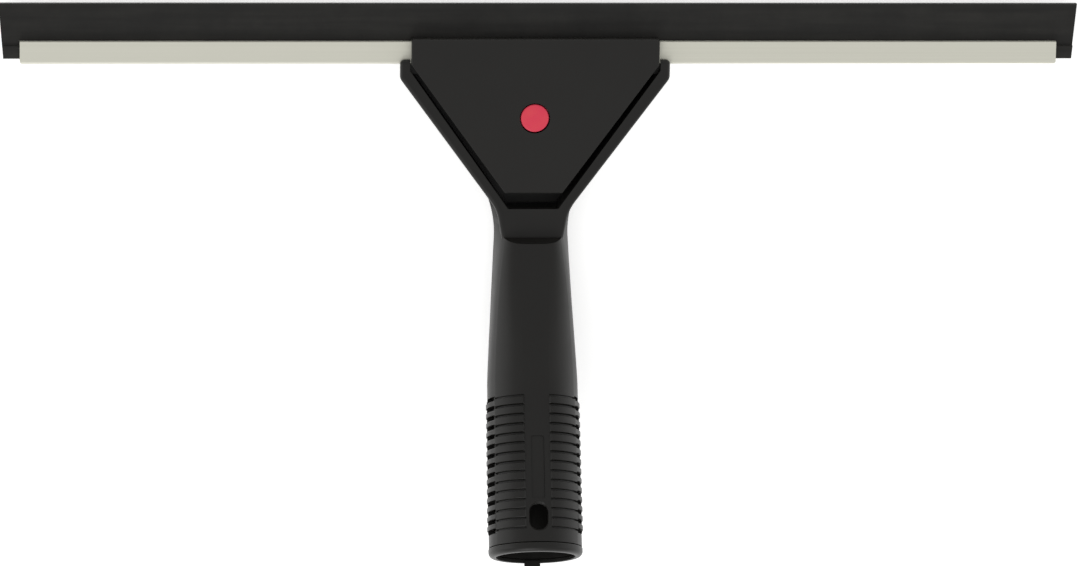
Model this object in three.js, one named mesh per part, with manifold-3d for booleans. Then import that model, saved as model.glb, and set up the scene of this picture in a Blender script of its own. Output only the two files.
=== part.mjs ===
// Window squeegee with a quick-release jaw, lying on its back
//
// X runs along the blade, Y points from the grip towards the blade and Z points up out of the front face.
// Y is zero at the seat under the blade channel. Z is zero on the flat back of the head.
// Lengths are millimetres and angles are degrees.

import * as THREE from 'three';
import { mergeVertices } from 'three/addons/utils/BufferGeometryUtils.js';
import Module from 'manifold-3d';

// Fits shared by all pieces
const clearance = 0.3;
const overrun = 1;
const weldDistance = 0.0001;

// Blade channel
const channelLength = 350;
const channelHeight = 7.6;
const channelDepth = 7.5;
const channelWall = 1.2;
const channelCorner = 0.9;
const channelEndCorner = 1;
const bladeShift = 2;

// Rubber blade
const rubberThickness = 2.2;
const rubberFreeHeight = 12.6;
const lipOverhang = 7.1;
const beadOverhang = 5.5;
const beadCorner = 0.7;

// Flat clips that hold the rubber's ends
const clipLength = 10;
const clipHeight = 2.6;
const clipThickness = 0.5;
const clipInset = 1;
const clipToothLength = 2;
const clipToothHeight = 1;
const clipToothDepth = 1;

// Head of the handle
const backJawThickness = 3.7;
const backJawCorner = 2;
const floorThickness = 2.5;
const seatWallThickness = 3.2;
const seatWallRoom = 1.3;
const hornHeight = 2;
const hornWidth = 3.3;
const hornGap = 0.5;
const hornCorner = 1.4;
const hornStraight = 4.4;
const rimWidth = 4.1;
const sideGapTop = 2;
const sideGapBottom = 2.8;
const pocketGap = 5.6;
const pocketCorner = 1;
const headEdge = 0.8;
const headDraft = 1;
const shelfHalfWidth = 12.2;
const shelfEndHalfWidth = 9;
const shelfFillet = 15;

// Jaw plate
const plateHalfTop = 41.8;
const plateHalfBottom = 9.7;
const plateHeight = 52.8;
const plateThickness = 2.7;
const plateProud = 0.8;
const plateCorner = 0.8;
const plateEdge = 0.3;
const noseThickness = 1.1;
const noseRubberGap = 0.4;
const plateSideStart = 0.5;
const ribThickness = 2;
const ribDepth = 2.4;
const ribAbovePivot = 6.6;
const ribBelowPivot = 14;

// Pivot of the jaw plate: two short pins, each in a knuckle between two ears of the tray
const pivotBelowSeat = 11;
const pivotBelowPlate = 2.8;
const pinRadius = 1.3;
const pinLength = 11.8;
const knuckleSpread = 20.5;
const knuckleRadius = 2.7;
const knuckleWidth = 4.4;
const earThickness = 3;
const earTopRadius = 2.3;
const earFootWidth = 7;

// Release button
const buttonRadius = 4.75;
const buttonGap = 0.4;
const buttonEdge = 0.3;
const buttonTravel = 2.2;
const buttonBelowSeat = 17.7;
const buttonCap = 2;
const flangeRadius = 6.2;
const flangeThickness = 1;
const legThickness = 1.6;
const legSpread = 4.5;
const legTipLength = 2;
const legBehindAxis = 1.5;

// Coil springs: mean radius, wire radius and turns
const buttonSpringRadius = 2.6;
const buttonSpringWire = 0.25;
const buttonSpringTurns = 4;
const jawSpringRadius = 2.5;
const jawSpringWire = 0.4;
const jawSpringTurns = 5.5;
const slideSpringRadius = 1.2;
const slideSpringWire = 0.2;
const slideSpringTurns = 4;
const slideSpringLength = 4.4;

// Lock slide
const slideThickness = 1.2;
const slideHalfWidth = 7.5;
const slideTailHalfWidth = 4;
const slideHead = 1.5;
const slideBridge = 1.5;
const slideTipLength = 2.6;
const slideTipChamfer = 0.5;
const slideShoulder = 0.6;
const tabThickness = 1;

// Cover over the mechanism
const coverThickness = 1.2;
const coverCorner = 1.5;
const coverMargin = 2.8;
const railThickness = 1.2;
const bossRadius = 2.6;
const screwRadius = 1;
const screwHeadRadius = 1.8;
const screwHeadHeight = 0.9;
const screwLength = 5;
const screwSlotWidth = 0.5;
const screwSlotDepth = 0.4;

// Lock post and spring pegs
const lockEngagement = 0.7;
const lockPlay = 0.9;
const postThickness = 3.2;
const postToSpring = 0.8;
const springPegHeight = 1.8;
const springPegGap = 0.5;

// Neck and grip
const shelfLength = 9.8;
const stepRise = 4.5;
const stepLean = 16;
const bendAngle = 23;
const gripLength = 104.5;
const gripRadius = 15.75;
const gripTaperLength = 60;
const gripTaperRadius = 15.1;
const neckHalfWidth = 11.6;
const neckOverlap = 3;
const neckFlare = 2.4;
const neckFlareStartShare = 0.8;
const neckFlareEndShare = 0.96;
const neckLeadShare = 0.7;
const neckRings = 14;
const neckRingPower = 1.5;
const neckFrontSquareness = 5.8;
const neckBackSquareness = 5;
const neckKeystoneShare = 0.45;
const neckLevelShare = 0.34;

// Grooves round the grip, deeper at its sides and back, and the smooth stripe down its front
const grooveCount = 15;
const groovePitch = 3.21;
const grooveWidth = 1.35;
const grooveDepth = 0.8;
const frontGrooveDepth = 0.2;
const frontGrooveAngle = 57;
const grooveSlope = 0.12;
const ridgeRise = 0.35;
const ridgeTaperRise = 0.65;
const firstGroove = 8.1;
const stripeWidth = 8.5;
const ringDivisions = 36;

// Pole socket
const socketRadius = 13.35;
const socketEndRadius = 12;
const socketDepth = 66;
const lockHoleLength = 8.7;
const lockHoleWidth = 6.2;
const lockHoleFromEnd = 11.85;

// Ring round the grip's end
const ringHeight = 3;
const ringProud = 0.15;
const ringWall = 1.2;
const ringFaceThickness = 1.2;
const ringEdge = 1.4;
const tabWidth = 5.4;
const tabDepth = 2;
const tabReach = 2.5;

// Levels of the head, from the back up
const channelBackZ = backJawThickness + clearance;
const channelFrontZ = channelBackZ + channelDepth;
const bladeMidZ = channelBackZ + channelDepth / 2;
const plateUnderZ = channelFrontZ + clearance;
const plateFrontZ = plateUnderZ + plateThickness;
const rimFrontZ = plateFrontZ - plateProud;
const seatWallZ = plateUnderZ - seatWallRoom;
const pinZ = plateUnderZ - pivotBelowPlate;
const flangeTopZ = plateUnderZ - clearance;
const flangeBottomZ = flangeTopZ - flangeThickness;
const slideTopZ = flangeBottomZ - buttonTravel - clearance;
const slideBottomZ = slideTopZ - slideThickness;
const coverTopZ = slideBottomZ - clearance;
const coverBottomZ = coverTopZ - coverThickness;
const postTopZ = slideBottomZ - lockPlay;

// Places along Y, from the blade down
const channelBottomY = clearance;
const channelTopY = channelBottomY + channelHeight;
const noseInnerY = channelTopY + clearance;
const plateTopY = noseInnerY + noseThickness;
const plateBottomY = plateTopY - plateHeight;
const trayBottomY = plateBottomY - pocketGap;
const stepFootY = trayBottomY - shelfLength;
const pinY = -pivotBelowSeat;
const buttonY = -buttonBelowSeat;
const legBackY = buttonY - legBehindAxis;
const rampFootY = legBackY + legTipLength;
const springRoomHalf = buttonSpringRadius + buttonSpringWire + clearance;
const windowTopY = buttonY + springRoomHalf;
const slideTopY = windowTopY + slideHead;
const windowBottomY = buttonY - springRoomHalf - buttonTravel;
const slotTopY = windowBottomY - slideBridge;
const tabBottomY = slotTopY - clearance - tabThickness;
const slideSpringTopY = tabBottomY - clearance;
const slotBottomY = slideSpringTopY - slideSpringLength - clearance;
const slideTipY = slotBottomY - slideTipLength;
const postTopY = slideTipY + lockEngagement;
const postBottomY = postTopY - postThickness;
const jawSpringY = postBottomY - postToSpring - jawSpringRadius - jawSpringWire;
const coverTopY = slideTopY;
const coverBottomY = windowBottomY - slideBridge / 2;

// Widths
const slotHalfDepth = rubberThickness / 2 + clearance;
const hornInnerX = plateHalfTop + hornGap;
const hornOuterX = hornInnerX + hornWidth;
const springSlotHalf = slideSpringRadius + slideSpringWire + clearance;
const earInnerX = knuckleSpread - knuckleWidth / 2 - clearance - earThickness;
const earOuterX = knuckleSpread + knuckleWidth / 2 + clearance;
const railInnerX = slideHalfWidth + clearance;
const railOuterX = railInnerX + railThickness;
const screwX = railOuterX + bossRadius - railThickness / 2;
const coverHalfWidth = screwX + coverMargin;
const screwY = (coverTopY + coverBottomY) / 2;

// The grip's own frame: its origin is the middle of the end face, Y runs up the grip and Z out of the front
const bend = THREE.MathUtils.degToRad(bendAngle);
const alongGrip = new THREE.Vector3(0, Math.cos(bend), -Math.sin(bend));
const outOfGrip = new THREE.Vector3(0, Math.sin(bend), Math.cos(bend));
const stepRimY = stepFootY - stepRise * Math.tan(THREE.MathUtils.degToRad(stepLean));
const stepRim = new THREE.Vector3(0, stepRimY, rimFrontZ + stepRise);
const gripEnd = stepRim.clone()
  .addScaledVector(alongGrip, -gripLength)
  .addScaledVector(outOfGrip, -gripRadius);

const wasm = await Module();
wasm.setup();

// Solids, joins and cuts
function solid(geometry) {
  const bare = geometry.clone();
  bare.deleteAttribute('normal');
  bare.deleteAttribute('uv');
  const merged = mergeVertices(bare, weldDistance);
  const corners = merged.index.array;
  const kept = [];
  for (let i = 0; i < corners.length; i += 3) {
    const [a, b, c] = corners.slice(i, i + 3);
    if (a !== b && b !== c && c !== a) kept.push(a, b, c);
  }
  return new wasm.Manifold(new wasm.Mesh({
    numProp: 3,
    vertProperties: new Float32Array(merged.attributes.position.array),
    triVerts: new Uint32Array(kept),
  }));
}

function join(...geometries) {
  return geometries.map(solid).reduce((whole, piece) => whole.add(piece));
}

function cut(whole, ...geometries) {
  return geometries.reduce((rest, geometry) => rest.subtract(solid(geometry)), whole);
}

function geometryOf(shape) {
  const mesh = shape.getMesh();
  const geometry = new THREE.BufferGeometry();
  geometry.setAttribute('position', new THREE.BufferAttribute(new Float32Array(mesh.vertProperties), 3));
  geometry.setIndex(new THREE.BufferAttribute(new Uint32Array(mesh.triVerts), 1));
  const flat = geometry.toNonIndexed();
  flat.computeVertexNormals();
  return flat;
}

// Outline through corners [x, y, radius], each rounded by an arc of its radius
const arcSteps = 6;

function outline(corners) {
  const points = corners.flatMap(([x, y, radius = 0], i) => {
    const corner = new THREE.Vector2(x, y);
    if (radius === 0) return [corner];
    const [beforeX, beforeY] = corners.at(i - 1);
    const [afterX, afterY] = corners[(i + 1) % corners.length];
    const towardsBefore = new THREE.Vector2(beforeX, beforeY).sub(corner).normalize();
    const towardsAfter = new THREE.Vector2(afterX, afterY).sub(corner).normalize();
    const halfAngle = Math.acos(towardsBefore.dot(towardsAfter)) / 2;
    const middle = towardsBefore.clone().add(towardsAfter).normalize();
    const centre = corner.clone().addScaledVector(middle, radius / Math.sin(halfAngle));
    const start = corner.clone().addScaledVector(towardsBefore, radius / Math.tan(halfAngle));
    const turn = Math.sign(towardsAfter.cross(towardsBefore)) * (Math.PI - 2 * halfAngle);
    return Array.from({ length: arcSteps + 1 }, (unused, k) => (
      start.clone().rotateAround(centre, turn * k / arcSteps)
    ));
  });
  return new THREE.Shape(points);
}

function mirrored(rightSide) {
  const leftSide = rightSide.map(([x, ...rest]) => [-x, ...rest]).reverse();
  return outline([...rightSide, ...leftSide]);
}

// An outline in X and Y as a slab between two levels, with an optional chamfer on its edges
function slab(shape, low, high, edge = 0) {
  const geometry = new THREE.ExtrudeGeometry(shape, {
    depth: high - low - 2 * edge,
    bevelEnabled: edge > 0,
    bevelThickness: edge,
    bevelSize: edge,
    bevelOffset: -edge,
    bevelSegments: 1,
  });
  return geometry.translate(0, 0, low + edge);
}

// An outline in Y and Z as a bar between two places on X
const knuckleArcSteps = 10;

function bar(shape, left, right) {
  const geometry = new THREE.ExtrudeGeometry(shape, {
    depth: right - left,
    bevelEnabled: false,
    curveSegments: knuckleArcSteps,
  });
  const turn = new THREE.Matrix4().makeBasis(
    new THREE.Vector3(0, 1, 0),
    new THREE.Vector3(0, 0, 1),
    new THREE.Vector3(1, 0, 0),
  );
  return geometry.applyMatrix4(turn).translate(left, 0, 0);
}

function block([left, right], [front, back], [low, high]) {
  const geometry = new THREE.BoxGeometry(right - left, back - front, high - low);
  return geometry.translate((left + right) / 2, (front + back) / 2, (low + high) / 2);
}

// A cylinder upright on Z, and one along X
function post(radius, x, y, low, high, sides = 24) {
  const geometry = new THREE.CylinderGeometry(radius, radius, high - low, sides);
  return geometry.rotateX(Math.PI / 2).translate(x, y, (low + high) / 2);
}

function rod(radius, x, y, z, length, sides = 20) {
  const geometry = new THREE.CylinderGeometry(radius, radius, length, sides);
  return geometry.rotateZ(Math.PI / 2).translate(x, y, z);
}

// A profile of [radius, height] points turned round the Z axis
function turned(points, x, y, sides = 32) {
  const closed = [...points, points[0]].map(([radius, height]) => new THREE.Vector2(radius, height));
  return new THREE.LatheGeometry(closed, sides).rotateX(Math.PI / 2).translate(x, y, 0);
}

// A coil spring from zero up to a height on Z: one unbroken tube with flattened end turns
const coilSteps = 8;
const coilSides = 5;

class Coil extends THREE.Curve {
  constructor(radius, wire, turns, height) {
    super();
    Object.assign(this, { radius, wire, turns, height });
  }

  getPoint(t, target = new THREE.Vector3()) {
    const angle = 2 * Math.PI * this.turns * t;
    const rise = THREE.MathUtils.smoothstep(t, 0, 1) * endTurnShare + t * (1 - endTurnShare);
    const climb = this.height - 2 * this.wire;
    return target.set(this.radius * Math.cos(angle), this.radius * Math.sin(angle), this.wire + climb * rise);
  }
}
const endTurnShare = 0.15;

function spring(name, radius, wire, turns, height) {
  const section = new THREE.Shape();
  for (let i = 0; i < coilSides; i += 1) {
    const angle = 2 * Math.PI * i / coilSides;
    const point = [wire * Math.cos(angle), wire * Math.sin(angle)];
    if (i === 0) section.moveTo(...point);
    else section.lineTo(...point);
  }
  section.closePath();
  const coil = new Coil(radius, wire, turns, height);
  const steps = Math.round(coilSteps * turns);
  const points = Array.from({ length: steps + 1 }, (unused, i) => coil.getPoint(i / steps));
  let leastGap = Infinity;
  points.forEach((point, i) => {
    for (let j = i + coilSteps / 2; j < points.length; j += 1) {
      leastGap = Math.min(leastGap, point.distanceTo(points[j]) - 2 * wire);
    }
  });
  console.log(`${name}: least gap of the wire to itself ${leastGap.toFixed(2)} mm`);
  return new THREE.ExtrudeGeometry(section, { steps, extrudePath: coil });
}

// Outlines shared by the tray, its rims and the plate
const trayHalfTop = plateHalfTop + sideGapTop;
const trayHalfBottom = plateHalfBottom + sideGapBottom;
const traySlope = (trayHalfTop - trayHalfBottom) / (plateSideStart - plateBottomY);

function trayHalfWidth(y) {
  return trayHalfTop - traySlope * (plateSideStart - y);
}

function whereTrayIs(halfWidth) {
  return plateSideStart - (trayHalfTop - halfWidth) / traySlope;
}

function platePoints() {
  return [
    [plateHalfTop, plateTopY, plateCorner],
    [plateHalfTop, plateSideStart],
    [plateHalfBottom, plateBottomY, plateCorner],
  ];
}

// Rings of the grip and neck: round at the grip, squarer and narrower in front towards the head.
// A ring is widest at its level, a share of its depth from the back. The stripe stays at the smooth radius.
const stripeAngle = Math.asin(stripeWidth / 2 / gripRadius);
const stripeWallAngle = Math.asin(grooveDepth / 2 / gripRadius);
const frontGrooveEnd = THREE.MathUtils.degToRad(frontGrooveAngle);
const roundForm = { level: 0.5, frontSquareness: 2, backSquareness: 2, keystone: 0 };

function ringAngles() {
  const angles = [-stripeAngle, 0, stripeAngle];
  const start = stripeAngle + stripeWallAngle;
  for (let i = 0; i <= ringDivisions; i += 1) {
    angles.push(start + (2 * Math.PI - 2 * start) * i / ringDivisions);
  }
  return angles;
}

function ring(front, back, halfWidth, form, rise, frontRise = rise) {
  const centre = back.clone().lerp(front, form.level);
  return ringAngles().map((angle) => {
    const inFront = Math.cos(angle) > 0;
    const towards = (inFront ? front : back).clone().sub(centre);
    const squareness = inFront ? form.frontSquareness : form.backSquareness;
    const outward = Math.abs(Math.cos(angle)) ** (2 / squareness);
    const sideways = Math.sign(Math.sin(angle)) * Math.abs(Math.sin(angle)) ** (2 / squareness);
    const keystone = inFront ? 1 - form.keystone * outward : 1;
    const fromFront = Math.abs(angle <= Math.PI ? angle : angle - 2 * Math.PI);
    const riseHere = fromFront < frontGrooveEnd ? frontRise : rise;
    const share = fromFront <= stripeAngle ? 1 : 1 + riseHere / halfWidth;
    return centre.clone()
      .addScaledVector(towards, outward * share)
      .setX(sideways * halfWidth * keystone * share);
  });
}

function loft(rings) {
  const positions = [];
  const put = (...corners) => corners.forEach((corner) => positions.push(corner.x, corner.y, corner.z));
  const middle = (points) => points.reduce((sum, point) => sum.add(point), new THREE.Vector3())
    .divideScalar(points.length);
  const count = rings[0].length;
  const last = rings.at(-1);
  const startMiddle = middle(rings[0]);
  const endMiddle = middle(last);
  for (let j = 0; j < count; j += 1) {
    const k = (j + 1) % count;
    put(startMiddle, rings[0][j], rings[0][k]);
    put(endMiddle, last[k], last[j]);
    for (let i = 0; i + 1 < rings.length; i += 1) {
      put(rings[i][j], rings[i + 1][j], rings[i][k]);
      put(rings[i][k], rings[i + 1][j], rings[i + 1][k]);
    }
  }
  const geometry = new THREE.BufferGeometry();
  geometry.setAttribute('position', new THREE.Float32BufferAttribute(positions, 3));
  return geometry;
}

// Smooth radius of the grip at a distance from its end
function gripRadiusAt(distance) {
  return THREE.MathUtils.lerp(gripRadius, gripTaperRadius, distance / gripTaperLength);
}

function gripRing(distance, rise = 0, frontRise = rise) {
  const centre = gripEnd.clone().addScaledVector(alongGrip, distance);
  const radius = gripRadiusAt(distance);
  const front = centre.clone().addScaledVector(outOfGrip, radius);
  const back = centre.clone().addScaledVector(outOfGrip, -radius);
  return ring(front, back, radius, roundForm, rise, frontRise);
}

function neckRingsList() {
  const { lerp } = THREE.MathUtils;
  const centre = gripEnd.clone().addScaledVector(alongGrip, gripTaperLength);
  const frontStart = centre.clone().addScaledVector(outOfGrip, gripTaperRadius);
  const backStart = centre.clone().addScaledVector(outOfGrip, -gripTaperRadius);
  const headY = trayBottomY + neckOverlap;
  const frontSlope = (frontStart.z - stepRim.z) / (stepRim.y - frontStart.y);
  const frontHead = new THREE.Vector3(0, headY, stepRim.z - frontSlope * (headY - stepRim.y));
  const backHead = new THREE.Vector3(0, headY, 0);
  const touchdown = new THREE.Vector3(0, backStart.y + backStart.z / Math.tan(bend), 0);
  const backCurve = new THREE.QuadraticBezierCurve3(backStart, touchdown, backHead);
  const rings = [];
  for (let i = 1; i <= neckRings; i += 1) {
    const share = 1 - (1 - i / neckRings) ** neckRingPower;
    const front = frontStart.clone().lerp(frontHead, share);
    const back = backCurve.getPoint(share ** neckLeadShare);
    const flare = neckFlare * THREE.MathUtils.smoothstep(share, neckFlareStartShare, neckFlareEndShare);
    const halfWidth = lerp(gripTaperRadius, neckHalfWidth, share) + flare;
    const form = {
      level: lerp(roundForm.level, neckLevelShare, share * share),
      frontSquareness: lerp(roundForm.frontSquareness, neckFrontSquareness, share * share),
      backSquareness: lerp(roundForm.backSquareness, neckBackSquareness, share * share),
      keystone: lerp(roundForm.keystone, neckKeystoneShare, share * share),
    };
    rings.push(ring(front, back, halfWidth, form, 0));
  }
  return rings.reverse();
}

function grooveRings() {
  const rings = [];
  for (let i = grooveCount - 1; i >= 0; i -= 1) {
    const lower = firstGroove + i * groovePitch - grooveWidth / 2;
    const upper = lower + grooveWidth;
    const rise = THREE.MathUtils.lerp(ridgeRise, ridgeTaperRise, lower / gripTaperLength);
    rings.push(gripRing(upper + grooveSlope, i === grooveCount - 1 ? 0 : rise));
    rings.push(gripRing(upper, -grooveDepth, -frontGrooveDepth));
    rings.push(gripRing(lower, -grooveDepth, -frontGrooveDepth));
    rings.push(gripRing(lower - grooveSlope, i === 0 ? 0 : rise));
  }
  return rings;
}

// A piece drawn in the grip's frame, moved to its place on the handle
function onGrip(geometry) {
  return geometry.rotateX(-bend).translate(gripEnd.x, gripEnd.y, gripEnd.z);
}

// Handle: head, neck and grip in one moulding. The head's side walls lean in towards its back.
function drafted(geometry) {
  const places = geometry.attributes.position;
  for (let i = 0; i < places.count; i += 1) {
    const x = places.getX(i);
    places.setX(i, x - Math.sign(x) * headDraft * (1 - places.getZ(i) / rimFrontZ));
  }
  return geometry;
}

function headGeometry() {
  const cornerY = -hornStraight;
  const slopeStartX = trayHalfWidth(cornerY) + rimWidth;
  return drafted(slab(mirrored([
    [hornOuterX, hornHeight, hornCorner],
    [Math.max(hornOuterX, slopeStartX), cornerY, hornWidth],
    [shelfHalfWidth, whereTrayIs(shelfHalfWidth - rimWidth), shelfFillet],
    [shelfEndHalfWidth, stepFootY - overrun],
  ]), 0, rimFrontZ, headEdge));
}

function backJawGeometry() {
  return drafted(slab(mirrored([
    [hornOuterX, channelTopY, backJawCorner],
    [hornOuterX, -overrun],
  ]), 0, backJawThickness));
}

function trayCutters() {
  const bottom = [trayHalfWidth(trayBottomY), trayBottomY, pocketCorner];
  return [
    slab(mirrored([
      [trayHalfWidth(-seatWallThickness), -seatWallThickness],
      bottom,
    ]), floorThickness, seatWallZ + overrun),
    slab(mirrored([
      [hornInnerX, hornHeight + overrun],
      [hornInnerX, whereTrayIs(hornInnerX)],
      bottom,
    ]), seatWallZ, rimFrontZ + overrun),
  ];
}

function mouthCutter() {
  const wide = hornOuterX + overrun;
  return block([-wide, wide], [0, hornHeight + overrun], [backJawThickness, plateUnderZ]);
}

function shelfCutter() {
  const height = 2 * stepRise + overrun;
  const lean = height * Math.tan(THREE.MathUtils.degToRad(stepLean));
  return bar(outline([
    [stepFootY, rimFrontZ],
    [trayBottomY + overrun, rimFrontZ],
    [trayBottomY + overrun, rimFrontZ + height],
    [stepFootY - lean, rimFrontZ + height],
  ]), -hornOuterX, hornOuterX);
}

function socketCutter() {
  const profile = [
    [0, -overrun],
    [socketRadius, -overrun],
    [socketRadius, ringHeight],
    [socketEndRadius, socketDepth],
    [0, socketDepth],
  ].map(([radius, height]) => new THREE.Vector2(radius, height));
  return onGrip(new THREE.LatheGeometry(profile, ringDivisions));
}

function lockHoleCutter() {
  const halfWidth = lockHoleWidth / 2;
  const halfLength = lockHoleLength / 2;
  const shape = outline([
    [halfWidth, lockHoleFromEnd + halfLength, halfWidth - clearance],
    [-halfWidth, lockHoleFromEnd + halfLength, halfWidth - clearance],
    [-halfWidth, lockHoleFromEnd - halfLength, halfWidth - clearance],
    [halfWidth, lockHoleFromEnd - halfLength, halfWidth - clearance],
  ]);
  return onGrip(slab(shape, 0, gripRadius + overrun));
}

function spigotCutter() {
  const inner = gripRadius + ringProud - ringWall - clearance;
  const outer = gripRadius + ringProud + overrun;
  const profile = [
    [inner, -overrun],
    [outer, -overrun],
    [outer, ringHeight + clearance],
    [inner, ringHeight + clearance],
    [inner, -overrun],
  ].map(([radius, height]) => new THREE.Vector2(radius, height));
  return onGrip(new THREE.LatheGeometry(profile, ringDivisions));
}

function endCutter() {
  const wide = gripRadius + overrun;
  return onGrip(block([-wide, wide], [-overrun, ringFaceThickness + clearance], [-wide, wide]));
}

function lockPostGeometry() {
  const top = outline([
    [postBottomY, floorThickness - overrun],
    [postTopY, floorThickness - overrun],
    [postTopY, postTopZ],
    [postBottomY, postTopZ],
  ]);
  return bar(top, -slideTailHalfWidth, slideTailHalfWidth);
}

function ear(x) {
  const half = earFootWidth / 2;
  const top = pinZ + earTopRadius;
  return bar(outline([
    [pinY - half, floorThickness - overrun],
    [pinY + half, floorThickness - overrun],
    [pinY + earTopRadius, top, earTopRadius],
    [pinY - earTopRadius, top, earTopRadius],
  ]), x, x + earThickness);
}

function pinBore(side, length) {
  return rod(pinRadius + clearance, side * knuckleSpread, pinY, pinZ, length);
}

function handleBody() {
  const pegRadius = jawSpringRadius - jawSpringWire - springPegGap;
  const grip = loft([...neckRingsList(), gripRing(gripTaperLength), ...grooveRings(), gripRing(0)]);
  const blank = join(headGeometry(), backJawGeometry(), grip);
  const shell = cut(blank, ...trayCutters(), mouthCutter(), shelfCutter());
  const fitted = [
    lockPostGeometry(),
    post(pegRadius, 0, jawSpringY, floorThickness - overrun, floorThickness + springPegHeight),
    ear(earInnerX),
    ear(earOuterX),
    ear(-earInnerX - earThickness),
    ear(-earOuterX - earThickness),
  ].reduce((whole, geometry) => whole.add(solid(geometry)), shell);
  return cut(
    fitted,
    pinBore(1, pinLength),
    pinBore(-1, pinLength),
    socketCutter(),
    spigotCutter(),
    endCutter(),
    lockHoleCutter(),
  );
}

// Jaw plate with its nose, knuckles, ribs, rails, bosses and spring fittings
function knuckle(x) {
  const profile = new THREE.Shape();
  profile.moveTo(pinY + knuckleRadius, plateUnderZ + plateThickness / 2);
  profile.lineTo(pinY - knuckleRadius, plateUnderZ + plateThickness / 2);
  profile.lineTo(pinY - knuckleRadius, pinZ);
  profile.absarc(pinY, pinZ, knuckleRadius, Math.PI, 2 * Math.PI);
  profile.closePath();
  return bar(profile, x - knuckleWidth / 2, x + knuckleWidth / 2);
}

function plateRib(x) {
  const top = pinY + ribAbovePivot;
  const bottom = pinY - ribBelowPivot;
  return bar(outline([
    [top, plateUnderZ + plateThickness / 2],
    [bottom, plateUnderZ + plateThickness / 2],
    [bottom + ribDepth, plateUnderZ - ribDepth],
    [top - ribDepth, plateUnderZ - ribDepth],
  ]), x - ribThickness / 2, x + ribThickness / 2);
}

function rail(side) {
  const into = plateUnderZ + plateThickness / 2;
  const span = [coverBottomY, slideTopY];
  const foot = slideBottomZ;
  const ledge = slideTopZ + clearance;
  const inner = slideHalfWidth - slideShoulder;
  const xs = (a, b) => (side > 0 ? [a, b] : [-b, -a]);
  return [
    block(xs(railInnerX, railOuterX), span, [foot, into]),
    block(xs(inner, railOuterX), span, [ledge, into]),
    post(bossRadius, side * screwX, screwY, foot, into),
  ];
}

function jawPlate() {
  const into = plateUnderZ + plateThickness / 2;
  const pegRadius = jawSpringRadius - jawSpringWire - springPegGap;
  const tabHalf = slideSpringRadius + slideSpringWire;
  const plate = slab(mirrored(platePoints()), plateUnderZ, plateFrontZ, plateEdge);
  const noseEndZ = bladeMidZ + rubberThickness / 2 + noseRubberGap;
  const pieces = [
    block([-plateHalfTop, plateHalfTop], [noseInnerY, plateTopY - plateEdge], [noseEndZ, into]),
    knuckle(knuckleSpread),
    knuckle(-knuckleSpread),
    plateRib(knuckleSpread),
    plateRib(-knuckleSpread),
    ...rail(1),
    ...rail(-1),
    block([-tabHalf, tabHalf], [tabBottomY, tabBottomY + tabThickness], [slideBottomZ, into]),
    post(pegRadius, 0, jawSpringY, plateUnderZ - springPegHeight, into),
  ];
  const pilot = screwRadius + clearance;
  const screwTopZ = coverBottomZ + screwLength + clearance;
  return cut(
    join(plate, ...pieces),
    post(buttonRadius + buttonGap, 0, buttonY, flangeTopZ, plateFrontZ + overrun, 40),
    pinBore(1, 2 * knuckleWidth),
    pinBore(-1, 2 * knuckleWidth),
    post(pilot, screwX, screwY, coverTopZ, screwTopZ),
    post(pilot, -screwX, screwY, coverTopZ, screwTopZ),
  );
}

// Release button: cap, flange and two ramped legs round a spring pocket
function buttonLeg(side) {
  const rampTopZ = slideBottomZ + buttonTravel;
  const rampTopY = rampFootY + buttonTravel;
  const middle = side * legSpread;
  return bar(outline([
    [legBackY, flangeBottomZ + flangeThickness / 2],
    [legBackY, slideBottomZ],
    [rampFootY, slideBottomZ],
    [rampTopY, rampTopZ],
    [rampTopY, flangeBottomZ + flangeThickness / 2],
  ]), middle - legThickness / 2, middle + legThickness / 2);
}

function releaseButton() {
  const pocketTop = plateFrontZ - buttonCap;
  const pocketRadius = springRoomHalf;
  const cap = turned([
    [0, pocketTop],
    [pocketRadius, pocketTop],
    [pocketRadius, flangeBottomZ],
    [flangeRadius, flangeBottomZ],
    [flangeRadius, flangeTopZ],
    [buttonRadius, flangeTopZ],
    [buttonRadius, plateFrontZ - buttonEdge],
    [buttonRadius - buttonEdge, plateFrontZ],
    [0, plateFrontZ],
  ], 0, buttonY, 40);
  return join(cap, buttonLeg(1), buttonLeg(-1));
}

// Lock slide: a window for the button's legs and spring, a slot for its own spring and a blunt tip
function lockSlide() {
  const legInner = legSpread - legThickness / 2 - clearance;
  const legOuter = legSpread + legThickness / 2 + clearance;
  const blank = slab(mirrored([
    [slideHalfWidth, slideTopY, clearance],
    [slideHalfWidth, slotTopY, clearance],
    [slideTailHalfWidth, slotTopY, clearance],
    [slideTailHalfWidth, slideTipY, clearance],
  ]), slideBottomZ, slideTopZ);
  const low = slideBottomZ - overrun;
  const high = slideTopZ + overrun;
  const rampEdgeY = rampFootY + clearance * Math.SQRT2;
  const rampNotch = outline([
    [legBackY - clearance - buttonTravel, low],
    [rampEdgeY - overrun, low],
    [rampEdgeY + high - slideBottomZ, high],
    [legBackY - clearance - buttonTravel, high],
  ]);
  const tip = outline([
    [slideTipY - overrun, slideBottomZ - overrun],
    [slideTipY + slideTipChamfer + overrun, slideBottomZ - overrun],
    [slideTipY - overrun, slideBottomZ + slideTipChamfer + overrun],
  ]);
  return cut(
    solid(blank),
    block([-legInner, legInner], [windowBottomY, windowTopY], [low, high]),
    bar(rampNotch, legInner - overrun, legOuter),
    bar(rampNotch, -legOuter, overrun - legInner),
    block([-springSlotHalf, springSlotHalf], [slotBottomY, slotTopY], [low, high]),
    bar(tip, -slideHalfWidth, slideHalfWidth),
  );
}

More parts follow.
